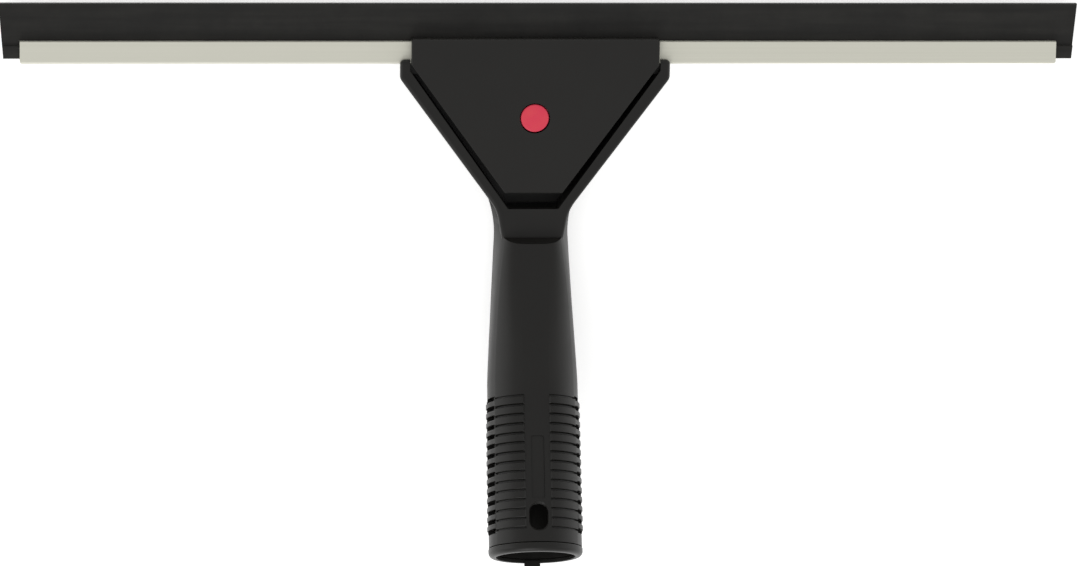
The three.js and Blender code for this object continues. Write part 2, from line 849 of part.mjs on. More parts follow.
// Cover strip under the mechanism, and its two countersunk screws
function mechanismCover() {
  const legInner = legSpread - legThickness / 2 - clearance;
  const legOuter = legSpread + legThickness / 2 + clearance;
  const legRoom = [legBackY - clearance, rampFootY + buttonTravel + clearance];
  const levels = [coverBottomZ - overrun, coverTopZ + overrun];
  const blank = slab(mirrored([
    [coverHalfWidth, coverTopY, coverCorner],
    [coverHalfWidth, coverBottomY, coverCorner],
  ]), coverBottomZ, coverTopZ);
  const countersink = (x) => turned([
    [0, levels[0]],
    [screwHeadRadius + clearance, levels[0]],
    [screwHeadRadius + clearance, coverBottomZ],
    [screwRadius + clearance, coverBottomZ + screwHeadHeight],
    [screwRadius + clearance, levels[1]],
    [0, levels[1]],
  ], x, screwY, 24);
  return cut(
    solid(blank),
    block([legInner, legOuter], legRoom, levels),
    block([-legOuter, -legInner], legRoom, levels),
    countersink(screwX),
    countersink(-screwX),
  );
}

function coverScrew(x) {
  const shaft = turned([
    [0, coverBottomZ],
    [screwHeadRadius, coverBottomZ],
    [screwRadius, coverBottomZ + screwHeadHeight],
    [screwRadius, coverBottomZ + screwLength],
    [0, coverBottomZ + screwLength],
  ], x, screwY, 24);
  const slotHalf = screwSlotWidth / 2;
  return cut(solid(shaft), block(
    [x - screwHeadRadius - overrun, x + screwHeadRadius + overrun],
    [screwY - slotHalf, screwY + slotHalf],
    [coverBottomZ - overrun, coverBottomZ + screwSlotDepth],
  ));
}

// Blade channel: a C section with a slot along its top, and rounded lower corners at the ends
function channel() {
  const inner = channelDepth / 2 - channelWall;
  const half = channelDepth / 2;
  const floorY = channelBottomY + channelWall;
  const roofY = channelTopY - channelWall;
  const frontHalf = [
    [channelTopY, bladeMidZ + slotHalfDepth],
    [channelTopY, bladeMidZ + half],
    [channelBottomY, bladeMidZ + half, channelCorner],
  ];
  const backHalf = [
    [channelBottomY, bladeMidZ - half, channelCorner],
    [channelTopY, bladeMidZ - half],
    [channelTopY, bladeMidZ - slotHalfDepth],
  ];
  const cavity = [
    [roofY, bladeMidZ - slotHalfDepth],
    [roofY, bladeMidZ - inner],
    [floorY, bladeMidZ - inner],
    [floorY, bladeMidZ + inner],
    [roofY, bladeMidZ + inner],
    [roofY, bladeMidZ + slotHalfDepth],
  ];
  const section = outline([...frontHalf, ...backHalf, ...cavity]);
  const ends = slab(mirrored([
    [channelLength / 2, channelTopY + overrun],
    [channelLength / 2, channelBottomY, channelEndCorner],
  ]), 0, rimFrontZ);
  return solid(bar(section, -channelLength / 2, channelLength / 2)).intersect(solid(ends));
}

// Rubber blade: a bead inside the channel and a flat lip, with slanted ends
const beadBottomY = channelBottomY + channelWall + clearance;
const beadTopY = channelTopY - channelWall - clearance;
const beadHalfDepth = channelDepth / 2 - channelWall - clearance;
const lipTopY = channelTopY + rubberFreeHeight;
const clipMidY = (beadBottomY + beadTopY) / 2;
const clipBackZ = bladeMidZ - channelDepth / 2 + channelWall + clearance;
const clipOuterX = channelLength / 2 - clipInset;

function clipParts(side, margin) {
  const xs = (outer, length) => {
    const ends = [side * outer, side * (outer - length)].sort((a, b) => a - b);
    return [ends[0] - margin, ends[1] + margin];
  };
  const halfHeight = clipHeight / 2 + margin;
  const toothHalf = clipToothHeight / 2 + margin;
  const toothOuter = clipOuterX - (clipLength - clipToothLength) / 2;
  const faceZ = clipBackZ + clipThickness;
  return [
    block(
      xs(clipOuterX, clipLength),
      [clipMidY - halfHeight, clipMidY + halfHeight],
      [clipBackZ - margin, faceZ + margin],
    ),
    block(
      xs(toothOuter, clipToothLength),
      [clipMidY - toothHalf, clipMidY + toothHalf],
      [clipBackZ, faceZ + clipToothDepth + margin],
    ),
  ];
}

function rubberBlade() {
  const half = rubberThickness / 2;
  const section = outline([
    [lipTopY, bladeMidZ + half],
    [beadTopY, bladeMidZ + half],
    [beadTopY, bladeMidZ + beadHalfDepth, beadCorner],
    [beadBottomY, bladeMidZ + beadHalfDepth, beadCorner],
    [beadBottomY, bladeMidZ - beadHalfDepth, beadCorner],
    [beadTopY, bladeMidZ - beadHalfDepth, beadCorner],
    [beadTopY, bladeMidZ - half],
    [lipTopY, bladeMidZ - half],
  ]);
  const lipEnd = channelLength / 2 + lipOverhang;
  const beadEnd = channelLength / 2 + beadOverhang;
  const ends = slab(mirrored([
    [lipEnd, lipTopY],
    [beadEnd, beadBottomY],
  ]), 0, rimFrontZ);
  const strip = solid(bar(section, -lipEnd - overrun, lipEnd + overrun));
  return cut(strip.intersect(solid(ends)), ...clipParts(1, clearance), ...clipParts(-1, clearance));
}

// Ring round the end of the grip, with a small tab behind its lower edge
function socketRing() {
  const outer = gripRadius + ringProud;
  const sleeve = [
    [socketRadius, 0],
    [outer - ringEdge, 0],
    [outer - ringEdge * arcShare, ringEdge * (1 - arcShare)],
    [outer, ringEdge],
    [outer, ringHeight],
    [outer - ringWall, ringHeight],
    [outer - ringWall, ringFaceThickness],
    [socketRadius, ringFaceThickness],
    [socketRadius, 0],
  ].map(([radius, height]) => new THREE.Vector2(radius, height));
  const tabBack = -(outer - ringEdge);
  const tab = block(
    [-tabWidth / 2, tabWidth / 2],
    [-tabReach, ringFaceThickness / 2],
    [tabBack, tabBack + tabDepth],
  );
  const boreLength = 2 * (tabReach + ringHeight);
  const bore = new THREE.CylinderGeometry(socketRadius, socketRadius, boreLength, ringDivisions);
  return cut(join(new THREE.LatheGeometry(sleeve, 2 * ringDivisions), tab), bore);
}
const arcShare = 1 - Math.SQRT1_2;

// Materials, one for each piece
const plasticColour = '#2e2d2b';
const finishes = {
  plastic: { color: plasticColour, roughness: 0.55, metalness: 0 },
  red: { color: '#d93f56', roughness: 0.45, metalness: 0 },
  rubber: { color: '#363532', roughness: 0.6, metalness: 0 },
  aluminium: { color: '#c6c5ba', roughness: 0.4, metalness: 0.6 },
  steel: { color: '#b4b6b8', roughness: 0.35, metalness: 0.9 },
};

function piece(name, finish, geometry) {
  const mesh = new THREE.Mesh(geometry, new THREE.MeshStandardMaterial(finishes[finish]));
  mesh.name = name;
  return mesh;
}

// Assembly
const squeegee = new THREE.Group();
const gripGroup = new THREE.Group();
gripGroup.position.copy(gripEnd);
gripGroup.rotation.x = -bend;
gripGroup.add(piece('socket_ring', 'plastic', geometryOf(socketRing())));

const leftPin = piece('jaw_pin_left', 'steel', rod(pinRadius, 0, 0, 0, pinLength));
const rightPin = piece('jaw_pin_right', 'steel', rod(pinRadius, 0, 0, 0, pinLength));
leftPin.position.set(-knuckleSpread, pinY, pinZ);
rightPin.position.set(knuckleSpread, pinY, pinZ);

const jawSpringHeight = plateUnderZ - floorThickness - 2 * clearance;
const jawSpring = piece('jaw_spring', 'steel', spring(
  'jaw_spring', jawSpringRadius, jawSpringWire, jawSpringTurns, jawSpringHeight,
));
jawSpring.position.set(0, jawSpringY, floorThickness + clearance);

const buttonSpringHeight = plateFrontZ - buttonCap - coverTopZ - 2 * clearance;
const buttonSpring = piece('button_spring', 'steel', spring(
  'button_spring', buttonSpringRadius, buttonSpringWire, buttonSpringTurns, buttonSpringHeight,
));
buttonSpring.position.set(0, buttonY, coverTopZ + clearance);

const slideSpring = piece('lock_slide_spring', 'steel', spring(
  'lock_slide_spring', slideSpringRadius, slideSpringWire, slideSpringTurns, slideSpringLength,
));
slideSpring.rotation.x = Math.PI / 2;
slideSpring.position.set(0, slideSpringTopY, (slideBottomZ + slideTopZ) / 2);

const blade = new THREE.Group();
blade.position.x = bladeShift;
blade.add(
  piece('channel', 'aluminium', geometryOf(channel())),
  piece('rubber_blade', 'rubber', geometryOf(rubberBlade())),
  piece('rubber_clip_left', 'steel', geometryOf(join(...clipParts(-1, 0)))),
  piece('rubber_clip_right', 'steel', geometryOf(join(...clipParts(1, 0)))),
);

squeegee.add(
  piece('handle_body', 'plastic', geometryOf(handleBody())),
  gripGroup,
  leftPin,
  rightPin,
  jawSpring,
  piece('jaw_plate', 'plastic', geometryOf(jawPlate())),
  piece('release_button', 'red', geometryOf(releaseButton())),
  buttonSpring,
  piece('lock_slide', 'plastic', geometryOf(lockSlide())),
  slideSpring,
  piece('mechanism_cover', 'plastic', geometryOf(mechanismCover())),
  piece('cover_screw_left', 'steel', geometryOf(coverScrew(-screwX))),
  piece('cover_screw_right', 'steel', geometryOf(coverScrew(screwX))),
  blade,
);

export default squeegee;
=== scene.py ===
# %% [markdown]
# A window squeegee with a quick-release jaw: a black moulded handle with a tray at its head, a
# black plate that rocks in the tray and clamps a pale aluminium channel, and a rubber blade in that
# channel. It lies on its back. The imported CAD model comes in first. It fixes every size and every
# moving part, so the looks are built round it.

# %% Load the CAD model and keep its box
import math

import bmesh
import bpy
from mathutils import Matrix, Vector


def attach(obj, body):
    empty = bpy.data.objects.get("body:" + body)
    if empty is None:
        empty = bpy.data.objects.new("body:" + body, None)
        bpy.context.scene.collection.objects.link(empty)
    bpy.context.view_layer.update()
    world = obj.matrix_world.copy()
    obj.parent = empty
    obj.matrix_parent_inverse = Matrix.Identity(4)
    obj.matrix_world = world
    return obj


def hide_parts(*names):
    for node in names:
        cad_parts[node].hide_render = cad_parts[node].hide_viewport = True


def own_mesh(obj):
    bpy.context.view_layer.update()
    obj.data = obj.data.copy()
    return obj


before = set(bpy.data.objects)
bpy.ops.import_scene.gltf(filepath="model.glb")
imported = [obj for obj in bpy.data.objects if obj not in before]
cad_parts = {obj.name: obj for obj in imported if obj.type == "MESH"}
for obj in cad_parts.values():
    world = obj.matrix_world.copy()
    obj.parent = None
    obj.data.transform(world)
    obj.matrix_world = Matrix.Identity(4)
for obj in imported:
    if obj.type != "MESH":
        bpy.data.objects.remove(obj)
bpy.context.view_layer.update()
MM = 0.001
print("nodes:", ", ".join(sorted(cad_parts)))

# %% [markdown]
# The camera comes early, so that every later render can be set against the photograph. A long lens
# far away, tilted 13 degrees from straight above and turned 5 degrees to the left, gives the
# photograph's flat look. The width that the picture covers at the origin sets the focal length.

# %% Camera at the photograph's angle
PICTURE_WIDTH = 1080
MM_PER_PIXEL = 0.338
CAMERA_FAR = 2500
CAMERA_TILT = math.radians(12.66)
CAMERA_TURN = math.radians(5.2)
CAMERA_ROLL = math.radians(-0.18)
AIM_RIGHT = 2.7
AIM_UP = -75.84

tilted = Vector((0, math.sin(CAMERA_TILT), math.cos(CAMERA_TILT)))
flat_up = Vector((0, math.cos(CAMERA_TILT), -math.sin(CAMERA_TILT)))
flat_right = Vector((1, 0, 0))
towards_camera = math.cos(CAMERA_TURN) * tilted - math.sin(CAMERA_TURN) * flat_right
turned_right = math.cos(CAMERA_TURN) * flat_right + math.sin(CAMERA_TURN) * tilted
picture_right = math.cos(CAMERA_ROLL) * turned_right + math.sin(CAMERA_ROLL) * flat_up
picture_up = math.cos(CAMERA_ROLL) * flat_up - math.sin(CAMERA_ROLL) * turned_right

camera = bpy.data.objects.new("camera", bpy.data.cameras.new("camera"))
bpy.context.scene.collection.objects.link(camera)
camera.data.sensor_width = 36
camera.data.lens = camera.data.sensor_width * CAMERA_FAR / (PICTURE_WIDTH * MM_PER_PIXEL)
camera.data.clip_end = 20
place = (picture_right * AIM_RIGHT + picture_up * AIM_UP + towards_camera * CAMERA_FAR) * MM
axes = Matrix((picture_right, picture_up, towards_camera)).transposed()
camera.matrix_world = Matrix.Translation(place) @ axes.to_4x4()
bpy.context.scene.camera = camera
print("camera lens", round(camera.data.lens), "mm")

# %% [markdown]
# Every material here is one Principled shader, with a few nodes that vary its colour, its roughness
# or its relief. One function turns a hex colour to linear light, one adds a node with its settings
# and links, and one starts a material. A pattern's scale is given in patches to a millimetre, so
# that it follows a real size.

# %% Helpers for materials
# A Mix node has its own sockets for numbers, for vectors and for colours. These are the colours'.
MIX_SHARE, MIX_FIRST, MIX_SECOND, MIXED = 0, 6, 7, 2


def srgb(code):
    """A hex colour as linear red, green, blue and alpha."""
    parts = [int(code[i:i + 2], 16) / 255 for i in (1, 3, 5)]
    return [p / 12.92 if p <= 0.04045 else ((p + 0.055) / 1.055) ** 2.4 for p in parts] + [1.0]


def node(tree, kind, inputs=None, **settings):
    """Adds a node, sets its properties, and sets or links its inputs."""
    made = tree.nodes.new(kind)
    for name, value in settings.items():
        setattr(made, name, value)
    for name, value in (inputs or {}).items():
        if isinstance(value, bpy.types.NodeSocket):
            tree.links.new(value, made.inputs[name])
        else:
            made.inputs[name].default_value = value
    return made


def material(name, **values):
    """A material whose surface is one Principled shader with these socket values."""
    made = bpy.data.materials.new(name)
    made.use_nodes = True
    shader = made.node_tree.nodes["Principled BSDF"]
    for socket, value in values.items():
        shader.inputs[socket.replace("_", " ")].default_value = value
    return made, made.node_tree, shader


def per_mm(count):
    """The scale of a noise that has this many patches in a millimetre."""
    return count / MM


print("material helpers ready")

# %% [markdown]
# A product like this is photographed on a lit white table in a white tent. The floor is a pale
# sheet just under the back of the head, and it glows a little. The tent is as bright overhead as
# low down, so flat black faces keep one even tone, and the round grip mirrors the table in a soft
# lighter band along each edge. Three weak lamps add a little direction.

# %% Floor and studio light
FLOOR_HALF = 3.0
FLOOR_Z = -0.0004
SKY_GLOW, PAPER_GLOW = 0.65, 0.5
ON_HEAD, ON_NECK = (0, -0.05, 0), (0, -0.08, 0.02)


def lamp(name, size, power, at, aim):
    """A round lamp at a place in metres, turned towards the point that it lights."""
    light = bpy.data.lights.new(name, "AREA")
    light.shape = "DISK"
    light.size = size
    light.energy = power
    holder = bpy.data.objects.new(name, light)
    bpy.context.scene.collection.objects.link(holder)
    holder.location = at
    holder.rotation_euler = (Vector(aim) - Vector(at)).to_track_quat("-Z", "Y").to_euler()


paper, tree, shader = material("white_paper", Base_Color=srgb("#fbfbfa"), Roughness=0.9)
shader.inputs["Emission Color"].default_value = srgb("#ffffff")
shader.inputs["Emission Strength"].default_value = PAPER_GLOW
bpy.ops.mesh.primitive_plane_add(size=2 * FLOOR_HALF, location=(0, 0, FLOOR_Z))
floor = bpy.context.object
floor.name = "floor"
floor.data.materials.append(paper)

world = bpy.data.worlds.new("studio")
world.use_nodes = True
bpy.context.scene.world = world
sky = world.node_tree.nodes["Background"]
sky.inputs["Color"].default_value = srgb("#ffffff")
sky.inputs["Strength"].default_value = SKY_GLOW
bpy.context.scene.view_settings.view_transform = "Standard"
lamp("key_lamp", size=1.4, power=12, at=(-0.5, -1.9, 1.4), aim=ON_HEAD)
lamp("left_lamp", size=1.0, power=3, at=(-1.8, -0.1, 0.55), aim=ON_NECK)
lamp("right_lamp", size=1.0, power=2, at=(1.8, -0.1, 0.55), aim=ON_NECK)
print("floor and three lamps")

# %% [markdown]
# The handle, the ring and the jaw plate are one plastic: glass-filled nylon or ABS, injection
# moulded in a tool with a fine spark-eroded texture. It is near black with a soft sheen, and
# handling polishes it in faint patches about 26 mm wide. The real grain is too fine for the
# picture, so it is drawn about 0.4 mm wide. The grain goes into bump and the patches go into
# roughness.

# %% Moulded black plastic
GRAINS_PER_MM, GRAIN_DEPTH = 2.6, 0.06
PATCHES_PER_MM, PATCH_LOW, PATCH_HIGH = 0.038, 0.3, 0.7
POLISHED, DULLED = 0.05, 0.07


def black_plastic(name, colour, paler, roughness):
    """One of the black plastics, which differ in colour and sheen alone."""
    made, tree, shader = material(name, IOR=1.5, Specular_IOR_Level=0.3, Roughness=roughness)
    place = node(tree, "ShaderNodeTexCoord").outputs["Object"]
    grain = node(tree, "ShaderNodeTexNoise", {
        "Vector": place, "Scale": per_mm(GRAINS_PER_MM), "Detail": 3, "Roughness": 0.6,
    })
    patches = node(tree, "ShaderNodeTexNoise", {
        "Vector": place, "Scale": per_mm(PATCHES_PER_MM), "Detail": 4, "Roughness": 0.55,
    })
    tone = node(tree, "ShaderNodeMix", {
        MIX_SHARE: patches.outputs["Fac"], MIX_FIRST: srgb(colour), MIX_SECOND: srgb(paler),
    }, data_type="RGBA")
    tree.links.new(tone.outputs[MIXED], shader.inputs["Base Color"])
    sheen = node(tree, "ShaderNodeMapRange", {
        "Value": patches.outputs["Fac"], "From Min": PATCH_LOW, "From Max": PATCH_HIGH,
        "To Min": roughness - POLISHED, "To Max": roughness + DULLED,
    })
    tree.links.new(sheen.outputs["Result"], shader.inputs["Roughness"])
    bump = node(tree, "ShaderNodeBump", {
        "Height": grain.outputs["Fac"], "Distance": GRAIN_DEPTH * MM, "Strength": 0.35,
    })
    tree.links.new(bump.outputs["Normal"], shader.inputs["Normal"])
    return made


handle_plastic = black_plastic("black_moulded_plastic", "#171614", "#1d1c1a", 0.38)
plate_plastic = black_plastic("black_plate_plastic", "#1b1a18", "#21201e", 0.48)
print("two black plastics")

# %% [markdown]
# The button is a smooth red plastic such as ABS, polished a little more than the black. Its colour
# wanders between a deeper and a paler red, in faint clouds about 4 mm wide. The polish of its tool
# is far too fine to show, so it is drawn 0.3 mm wide and very shallow.

# %% Red button plastic
CLOUDS_PER_MM, POLISH_PER_MM, POLISH_DEPTH = 0.26, 3.0, 0.03
red_plastic, tree, shader = material("red_satin_plastic", IOR=1.49, Roughness=0.36)
place = node(tree, "ShaderNodeTexCoord").outputs["Object"]
clouds = node(tree, "ShaderNodeTexNoise", {
    "Vector": place, "Scale": per_mm(CLOUDS_PER_MM), "Detail": 2,
})
tone = node(tree, "ShaderNodeMix", {
    MIX_SHARE: clouds.outputs["Fac"], MIX_FIRST: srgb("#e42d54"), MIX_SECOND: srgb("#ea4854"),
}, data_type="RGBA")
tree.links.new(tone.outputs[MIXED], shader.inputs["Base Color"])
fine = node(tree, "ShaderNodeTexNoise", {
    "Vector": place, "Scale": per_mm(POLISH_PER_MM), "Detail": 2,
})
bump = node(tree, "ShaderNodeBump", {
    "Height": fine.outputs["Fac"], "Distance": POLISH_DEPTH * MM, "Strength": 0.2,
})
tree.links.new(bump.outputs["Normal"], shader.inputs["Normal"])
print("red plastic")

# %% [markdown]
# The channel is aluminium, extruded and anodised natural. Anodising leaves a pale, slightly warm
# grey with a dull metal sheen, and the extrusion die leaves faint lines along the length. So the
# noise is stretched along X, to streaks about 170 mm long. The real lines are finer than the
# picture shows, so they are drawn about 0.6 mm apart.

# %% Anodised aluminium
LINES_PER_MM, LINES_ALONG, LINE_RELIEF = 1.8, 0.006, 0.04
DULL_PER_MM, SHINIEST, DULLEST = 0.06, 0.36, 0.5
aluminium, tree, shader = material("anodised_aluminium", Metallic=0.25, Roughness=0.45)
place = node(tree, "ShaderNodeTexCoord").outputs["Object"]
along = node(tree, "ShaderNodeMapping", {
    "Vector": place, "Scale": (per_mm(LINES_ALONG), per_mm(LINES_PER_MM), per_mm(LINES_PER_MM)),
})
lines = node(tree, "ShaderNodeTexNoise", {
    "Vector": along.outputs["Vector"], "Scale": 1, "Detail": 4,
})
dull = node(tree, "ShaderNodeTexNoise", {
    "Vector": place, "Scale": per_mm(DULL_PER_MM), "Detail": 3,
})
tone = node(tree, "ShaderNodeMix", {
    MIX_SHARE: lines.outputs["Fac"], MIX_FIRST: srgb("#dad9cb"), MIX_SECOND: srgb("#e2e1d3"),
}, data_type="RGBA")
tree.links.new(tone.outputs[MIXED], shader.inputs["Base Color"])
sheen = node(tree, "ShaderNodeMapRange", {
    "Value": dull.outputs["Fac"], "To Min": SHINIEST, "To Max": DULLEST,
})
tree.links.new(sheen.outputs["Result"], shader.inputs["Roughness"])
bump = node(tree, "ShaderNodeBump", {
    "Height": lines.outputs["Fac"], "Distance": LINE_RELIEF * MM, "Strength": 0.3,
})
tree.links.new(bump.outputs["Normal"], shader.inputs["Normal"])
print("aluminium")

# %% [markdown]
# The blade is natural rubber filled with carbon black. Rubber like this has a bloom: a faint grey
# haze in patches about 11 mm wide, with paler streaks along the blade where it has been wiped,
# about 40 mm long and 2.4 mm wide. It is duller than the plastic.

# %% Black rubber
HAZE_PER_MM, HAZE_RELIEF = 0.09, 0.1
STREAKS_ALONG, STREAKS_ACROSS = 0.025, 0.42
BLOOM_LOW, BLOOM_HIGH = 0.15, 0.42
rubber, tree, shader = material("black_rubber", IOR=1.52, Specular_IOR_Level=0.3, Roughness=0.55)
place = node(tree, "ShaderNodeTexCoord").outputs["Object"]
haze = node(tree, "ShaderNodeTexNoise", {
    "Vector": place, "Scale": per_mm(HAZE_PER_MM), "Detail": 6, "Roughness": 0.65,
})
along = node(tree, "ShaderNodeMapping", {
    "Vector": place,
    "Scale": (per_mm(STREAKS_ALONG), per_mm(STREAKS_ACROSS), per_mm(STREAKS_ACROSS)),
})
wiped = node(tree, "ShaderNodeTexNoise", {
    "Vector": along.outputs["Vector"], "Scale": 1, "Detail": 3,
})
both = node(tree, "ShaderNodeMath", {
    0: haze.outputs["Fac"], 1: wiped.outputs["Fac"],
}, operation="MULTIPLY")
spread = node(tree, "ShaderNodeMapRange", {
    "Value": both.outputs["Value"], "From Min": BLOOM_LOW, "From Max": BLOOM_HIGH,
})
tone = node(tree, "ShaderNodeMix", {
    MIX_SHARE: spread.outputs["Result"], MIX_FIRST: srgb("#191816"), MIX_SECOND: srgb("#262522"),
}, data_type="RGBA")
tree.links.new(tone.outputs[MIXED], shader.inputs["Base Color"])
bump = node(tree, "ShaderNodeBump", {
    "Height": haze.outputs["Fac"], "Distance": HAZE_RELIEF * MM, "Strength": 0.3,
})
tree.links.new(bump.outputs["Normal"], shader.inputs["Normal"])
print("rubber")

# %% [markdown]
# The springs, pins, screws and clips are plain steel wire, rod and sheet. Drawing and rolling leave
# fine scratches, so a stretched noise moves the colour and the roughness a little. Its scratches
# are about 3 mm long and 0.3 mm apart, coarser than real ones, so that they show from close by.

# %% Plain steel
SCRATCHES_ALONG, SCRATCHES_ACROSS = 0.3, 3.0
steel, tree, shader = material("plain_steel", Metallic=1.0, Roughness=0.3)
place = node(tree, "ShaderNodeTexCoord").outputs["Object"]
along = node(tree, "ShaderNodeMapping", {
    "Vector": place,
    "Scale": (per_mm(SCRATCHES_ALONG), per_mm(SCRATCHES_ACROSS), per_mm(SCRATCHES_ACROSS)),
})
scratch = node(tree, "ShaderNodeTexNoise", {
    "Vector": along.outputs["Vector"], "Scale": 1, "Detail": 3,
})
tone = node(tree, "ShaderNodeMix", {
    MIX_SHARE: scratch.outputs["Fac"], MIX_FIRST: srgb("#a9abad"), MIX_SECOND: srgb("#c3c4c5"),
}, data_type="RGBA")
tree.links.new(tone.outputs[MIXED], shader.inputs["Base Color"])
sheen = node(tree, "ShaderNodeMapRange", {
    "Value": scratch.outputs["Fac"], "To Min": 0.24, "To Max": 0.4,
})
tree.links.new(sheen.outputs["Result"], shader.inputs["Roughness"])
print("steel")

# %% [markdown]
# The shapes are made in millimetres with bmesh and turned to metres at the end, because cutting and
# joining is safer on large numbers. Each helper does one maker's job: round the corners of an
# outline, raise it to a solid, turn a profile on an axis, or round an edge.

# %% Helpers for outlines
ARC_STEPS = 8


def rounded(corners):
    """Points through corners (x, y, radius), each rounded by an arc of its radius."""
    points = []
    for i, (x, y, *radius) in enumerate(corners):
        corner = Vector((x, y))
        if not radius:
            points.append(corner)
            continue
        before = (Vector(corners[i - 1][:2]) - corner).normalized()
        after = (Vector(corners[(i + 1) % len(corners)][:2]) - corner).normalized()
        half = before.angle(after) / 2
        middle = corner + (before + after).normalized() * radius[0] / math.sin(half)
        arm = corner + before * radius[0] / math.tan(half) - middle
        turn = math.copysign(math.pi - 2 * half, after.x * before.y - after.y * before.x)
        for k in range(ARC_STEPS + 1):
            points.append(middle + Matrix.Rotation(turn * k / ARC_STEPS, 2) @ arm)
    return points


def mirrored(right_side):
    """A whole outline, rounded, from the corners of its right half."""
    left_side = [(-x, *rest) for x, *rest in reversed(right_side)]
    return rounded(list(right_side) + left_side)


def rectangle(first_x, last_x, first_y, last_y, *radius):
    """The four corners of a rectangle in order, each with the radius if one is given."""
    return [
        (first_x, first_y, *radius), (last_x, first_y, *radius),
        (last_x, last_y, *radius), (first_x, last_y, *radius),
    ]


print("outline helpers ready")

# %% Helpers for solids
ROUND_STEPS, SAME_PLACE = 96, 0.0001
AXIS_Y, AXIS_Z = (0, 1, 0), (0, 0, 1)
TO_SIDE = Matrix(((0, 0, 1, 0), (1, 0, 0, 0), (0, 1, 0, 0), (0, 0, 0, 1)))


def extruded(shape, face):
    """Extrudes one face, and returns its new points before they are moved."""
    raised = bmesh.ops.extrude_face_region(shape, geom=[face])["geom"]
    return [part for part in raised if isinstance(part, bmesh.types.BMVert)]


def placed(shape, matrix):
    """Moves and turns the whole shape by a matrix."""
    bmesh.ops.transform(shape, matrix=matrix, verts=shape.verts)
    return shape


def shifted(shape, way):
    """Moves the whole shape along a vector."""
    bmesh.ops.translate(shape, vec=way, verts=shape.verts)
    return shape


def prism(points, low, high):
    """A solid raised from an outline in X and Y, between two levels on Z."""
    shape = bmesh.new()
    base = shape.faces.new([shape.verts.new((x, y, low)) for x, y in points])
    bmesh.ops.translate(shape, vec=(0, 0, high - low), verts=extruded(shape, base))
    return shape


def bar(points, left, right):
    """A solid raised along X from an outline in Y and Z."""
    return placed(prism(points, left, right), TO_SIDE)


def turned(profile, axis, steps=ROUND_STEPS):
    """A closed profile of (radius, height) points turned once round Y or Z."""
    shape = bmesh.new()
    up = Vector(axis)
    out = Vector((1, 0, 0))
    line = [shape.verts.new(out * radius + up * height) for radius, height in profile]
    edges = [shape.edges.new(pair) for pair in zip(line, line[1:])]
    bmesh.ops.spin(
        shape, geom=line + edges, cent=(0, 0, 0), axis=up, angle=2 * math.pi, steps=steps,
        use_merge=True,
    )
    bmesh.ops.remove_doubles(shape, verts=shape.verts, dist=SAME_PLACE)
    return shape


def soften(shape, edges, width, segments=3):
    """Rounds some edges with a bevel of this width."""
    bmesh.ops.bevel(
        shape, geom=edges, offset=width, offset_type="OFFSET", segments=segments, profile=0.5,
        affect="EDGES", clamp_overlap=True, material=-1,
    )


def close_ends(shape):
    """Fills every open loop with a face."""
    open_edges = [edge for edge in shape.edges if edge.is_boundary]
    bmesh.ops.holes_fill(shape, edges=open_edges, sides=0)


print("solid helpers ready")

# %% [markdown]
# A shape becomes an object when it is done. Cuts and joints could be modelled face by face, but
# exact booleans give the same walls as the mould, and every solid stays closed. A finished piece
# goes to metres and gets evened normals, so that flat faces stay flat beside soft edges. Then it
# gets its material, its body and the CAD nodes that it stands for.

# %% Helpers that cut, join and finish
SHARP_FROM = 32


def made(shape, name):
    """The bmesh as an object, still in millimetres, with its faces turned outwards."""
    bmesh.ops.recalc_face_normals(shape, faces=shape.faces)
    mesh = bpy.data.meshes.new(name)
    shape.to_mesh(mesh)
    shape.free()
    piece = bpy.data.objects.new(name, mesh)
    bpy.context.scene.collection.objects.link(piece)
    return piece


def applied(piece):
    """Applies the piece's modifiers to its mesh."""
    bpy.context.view_layer.update()
    seen = piece.evaluated_get(bpy.context.evaluated_depsgraph_get())
    shaped = bpy.data.meshes.new_from_object(seen)
    piece.modifiers.clear()
    piece.data = shaped


def join(piece, other, operation="UNION"):
    """Joins another object to the piece, or takes its shape out of it."""
    step = piece.modifiers.new("cut or join", "BOOLEAN")
    step.operation = operation
    step.solver = "EXACT"
    step.object = other
    applied(piece)
    bpy.data.objects.remove(other)


def work(piece, shape, operation="DIFFERENCE"):
    """Cuts a shape out of the piece, or joins it on with UNION."""
    join(piece, made(shape, "tool"), operation)


def finish(piece, surface, body, slot, *replaced):
    """Turns the piece to metres, shades it, and gives it its body and CAD nodes; slot is unused."""
    piece.data.transform(Matrix.Scale(MM, 4))
    piece.data.materials.clear()
    piece.data.materials.append(surface)
    for face in piece.data.polygons:
        face.use_smooth = True
    piece.data.set_sharp_from_angle(angle=math.radians(SHARP_FROM))
    even = piece.modifiers.new("even shading", "WEIGHTED_NORMAL")
    even.keep_sharp = True
    applied(piece)
    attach(piece, body)
    if replaced:
        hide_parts(*replaced)
    print(f"{piece.name}: {len(piece.data.polygons)} faces")


print("finishing helpers ready")

# %% [markdown]
# The head is a flat tray. Its outline is a wide V with two short horns that hold the channel, and
# it narrows into the shelf. A thinner jaw reaches up behind the channel. All of it is one moulding,
# so its side walls lean in towards the back by a millimetre to leave the tool, and its outer edge
# is rounded. The outline is raised to a solid, its walls are leaned, and its edges are beveled.

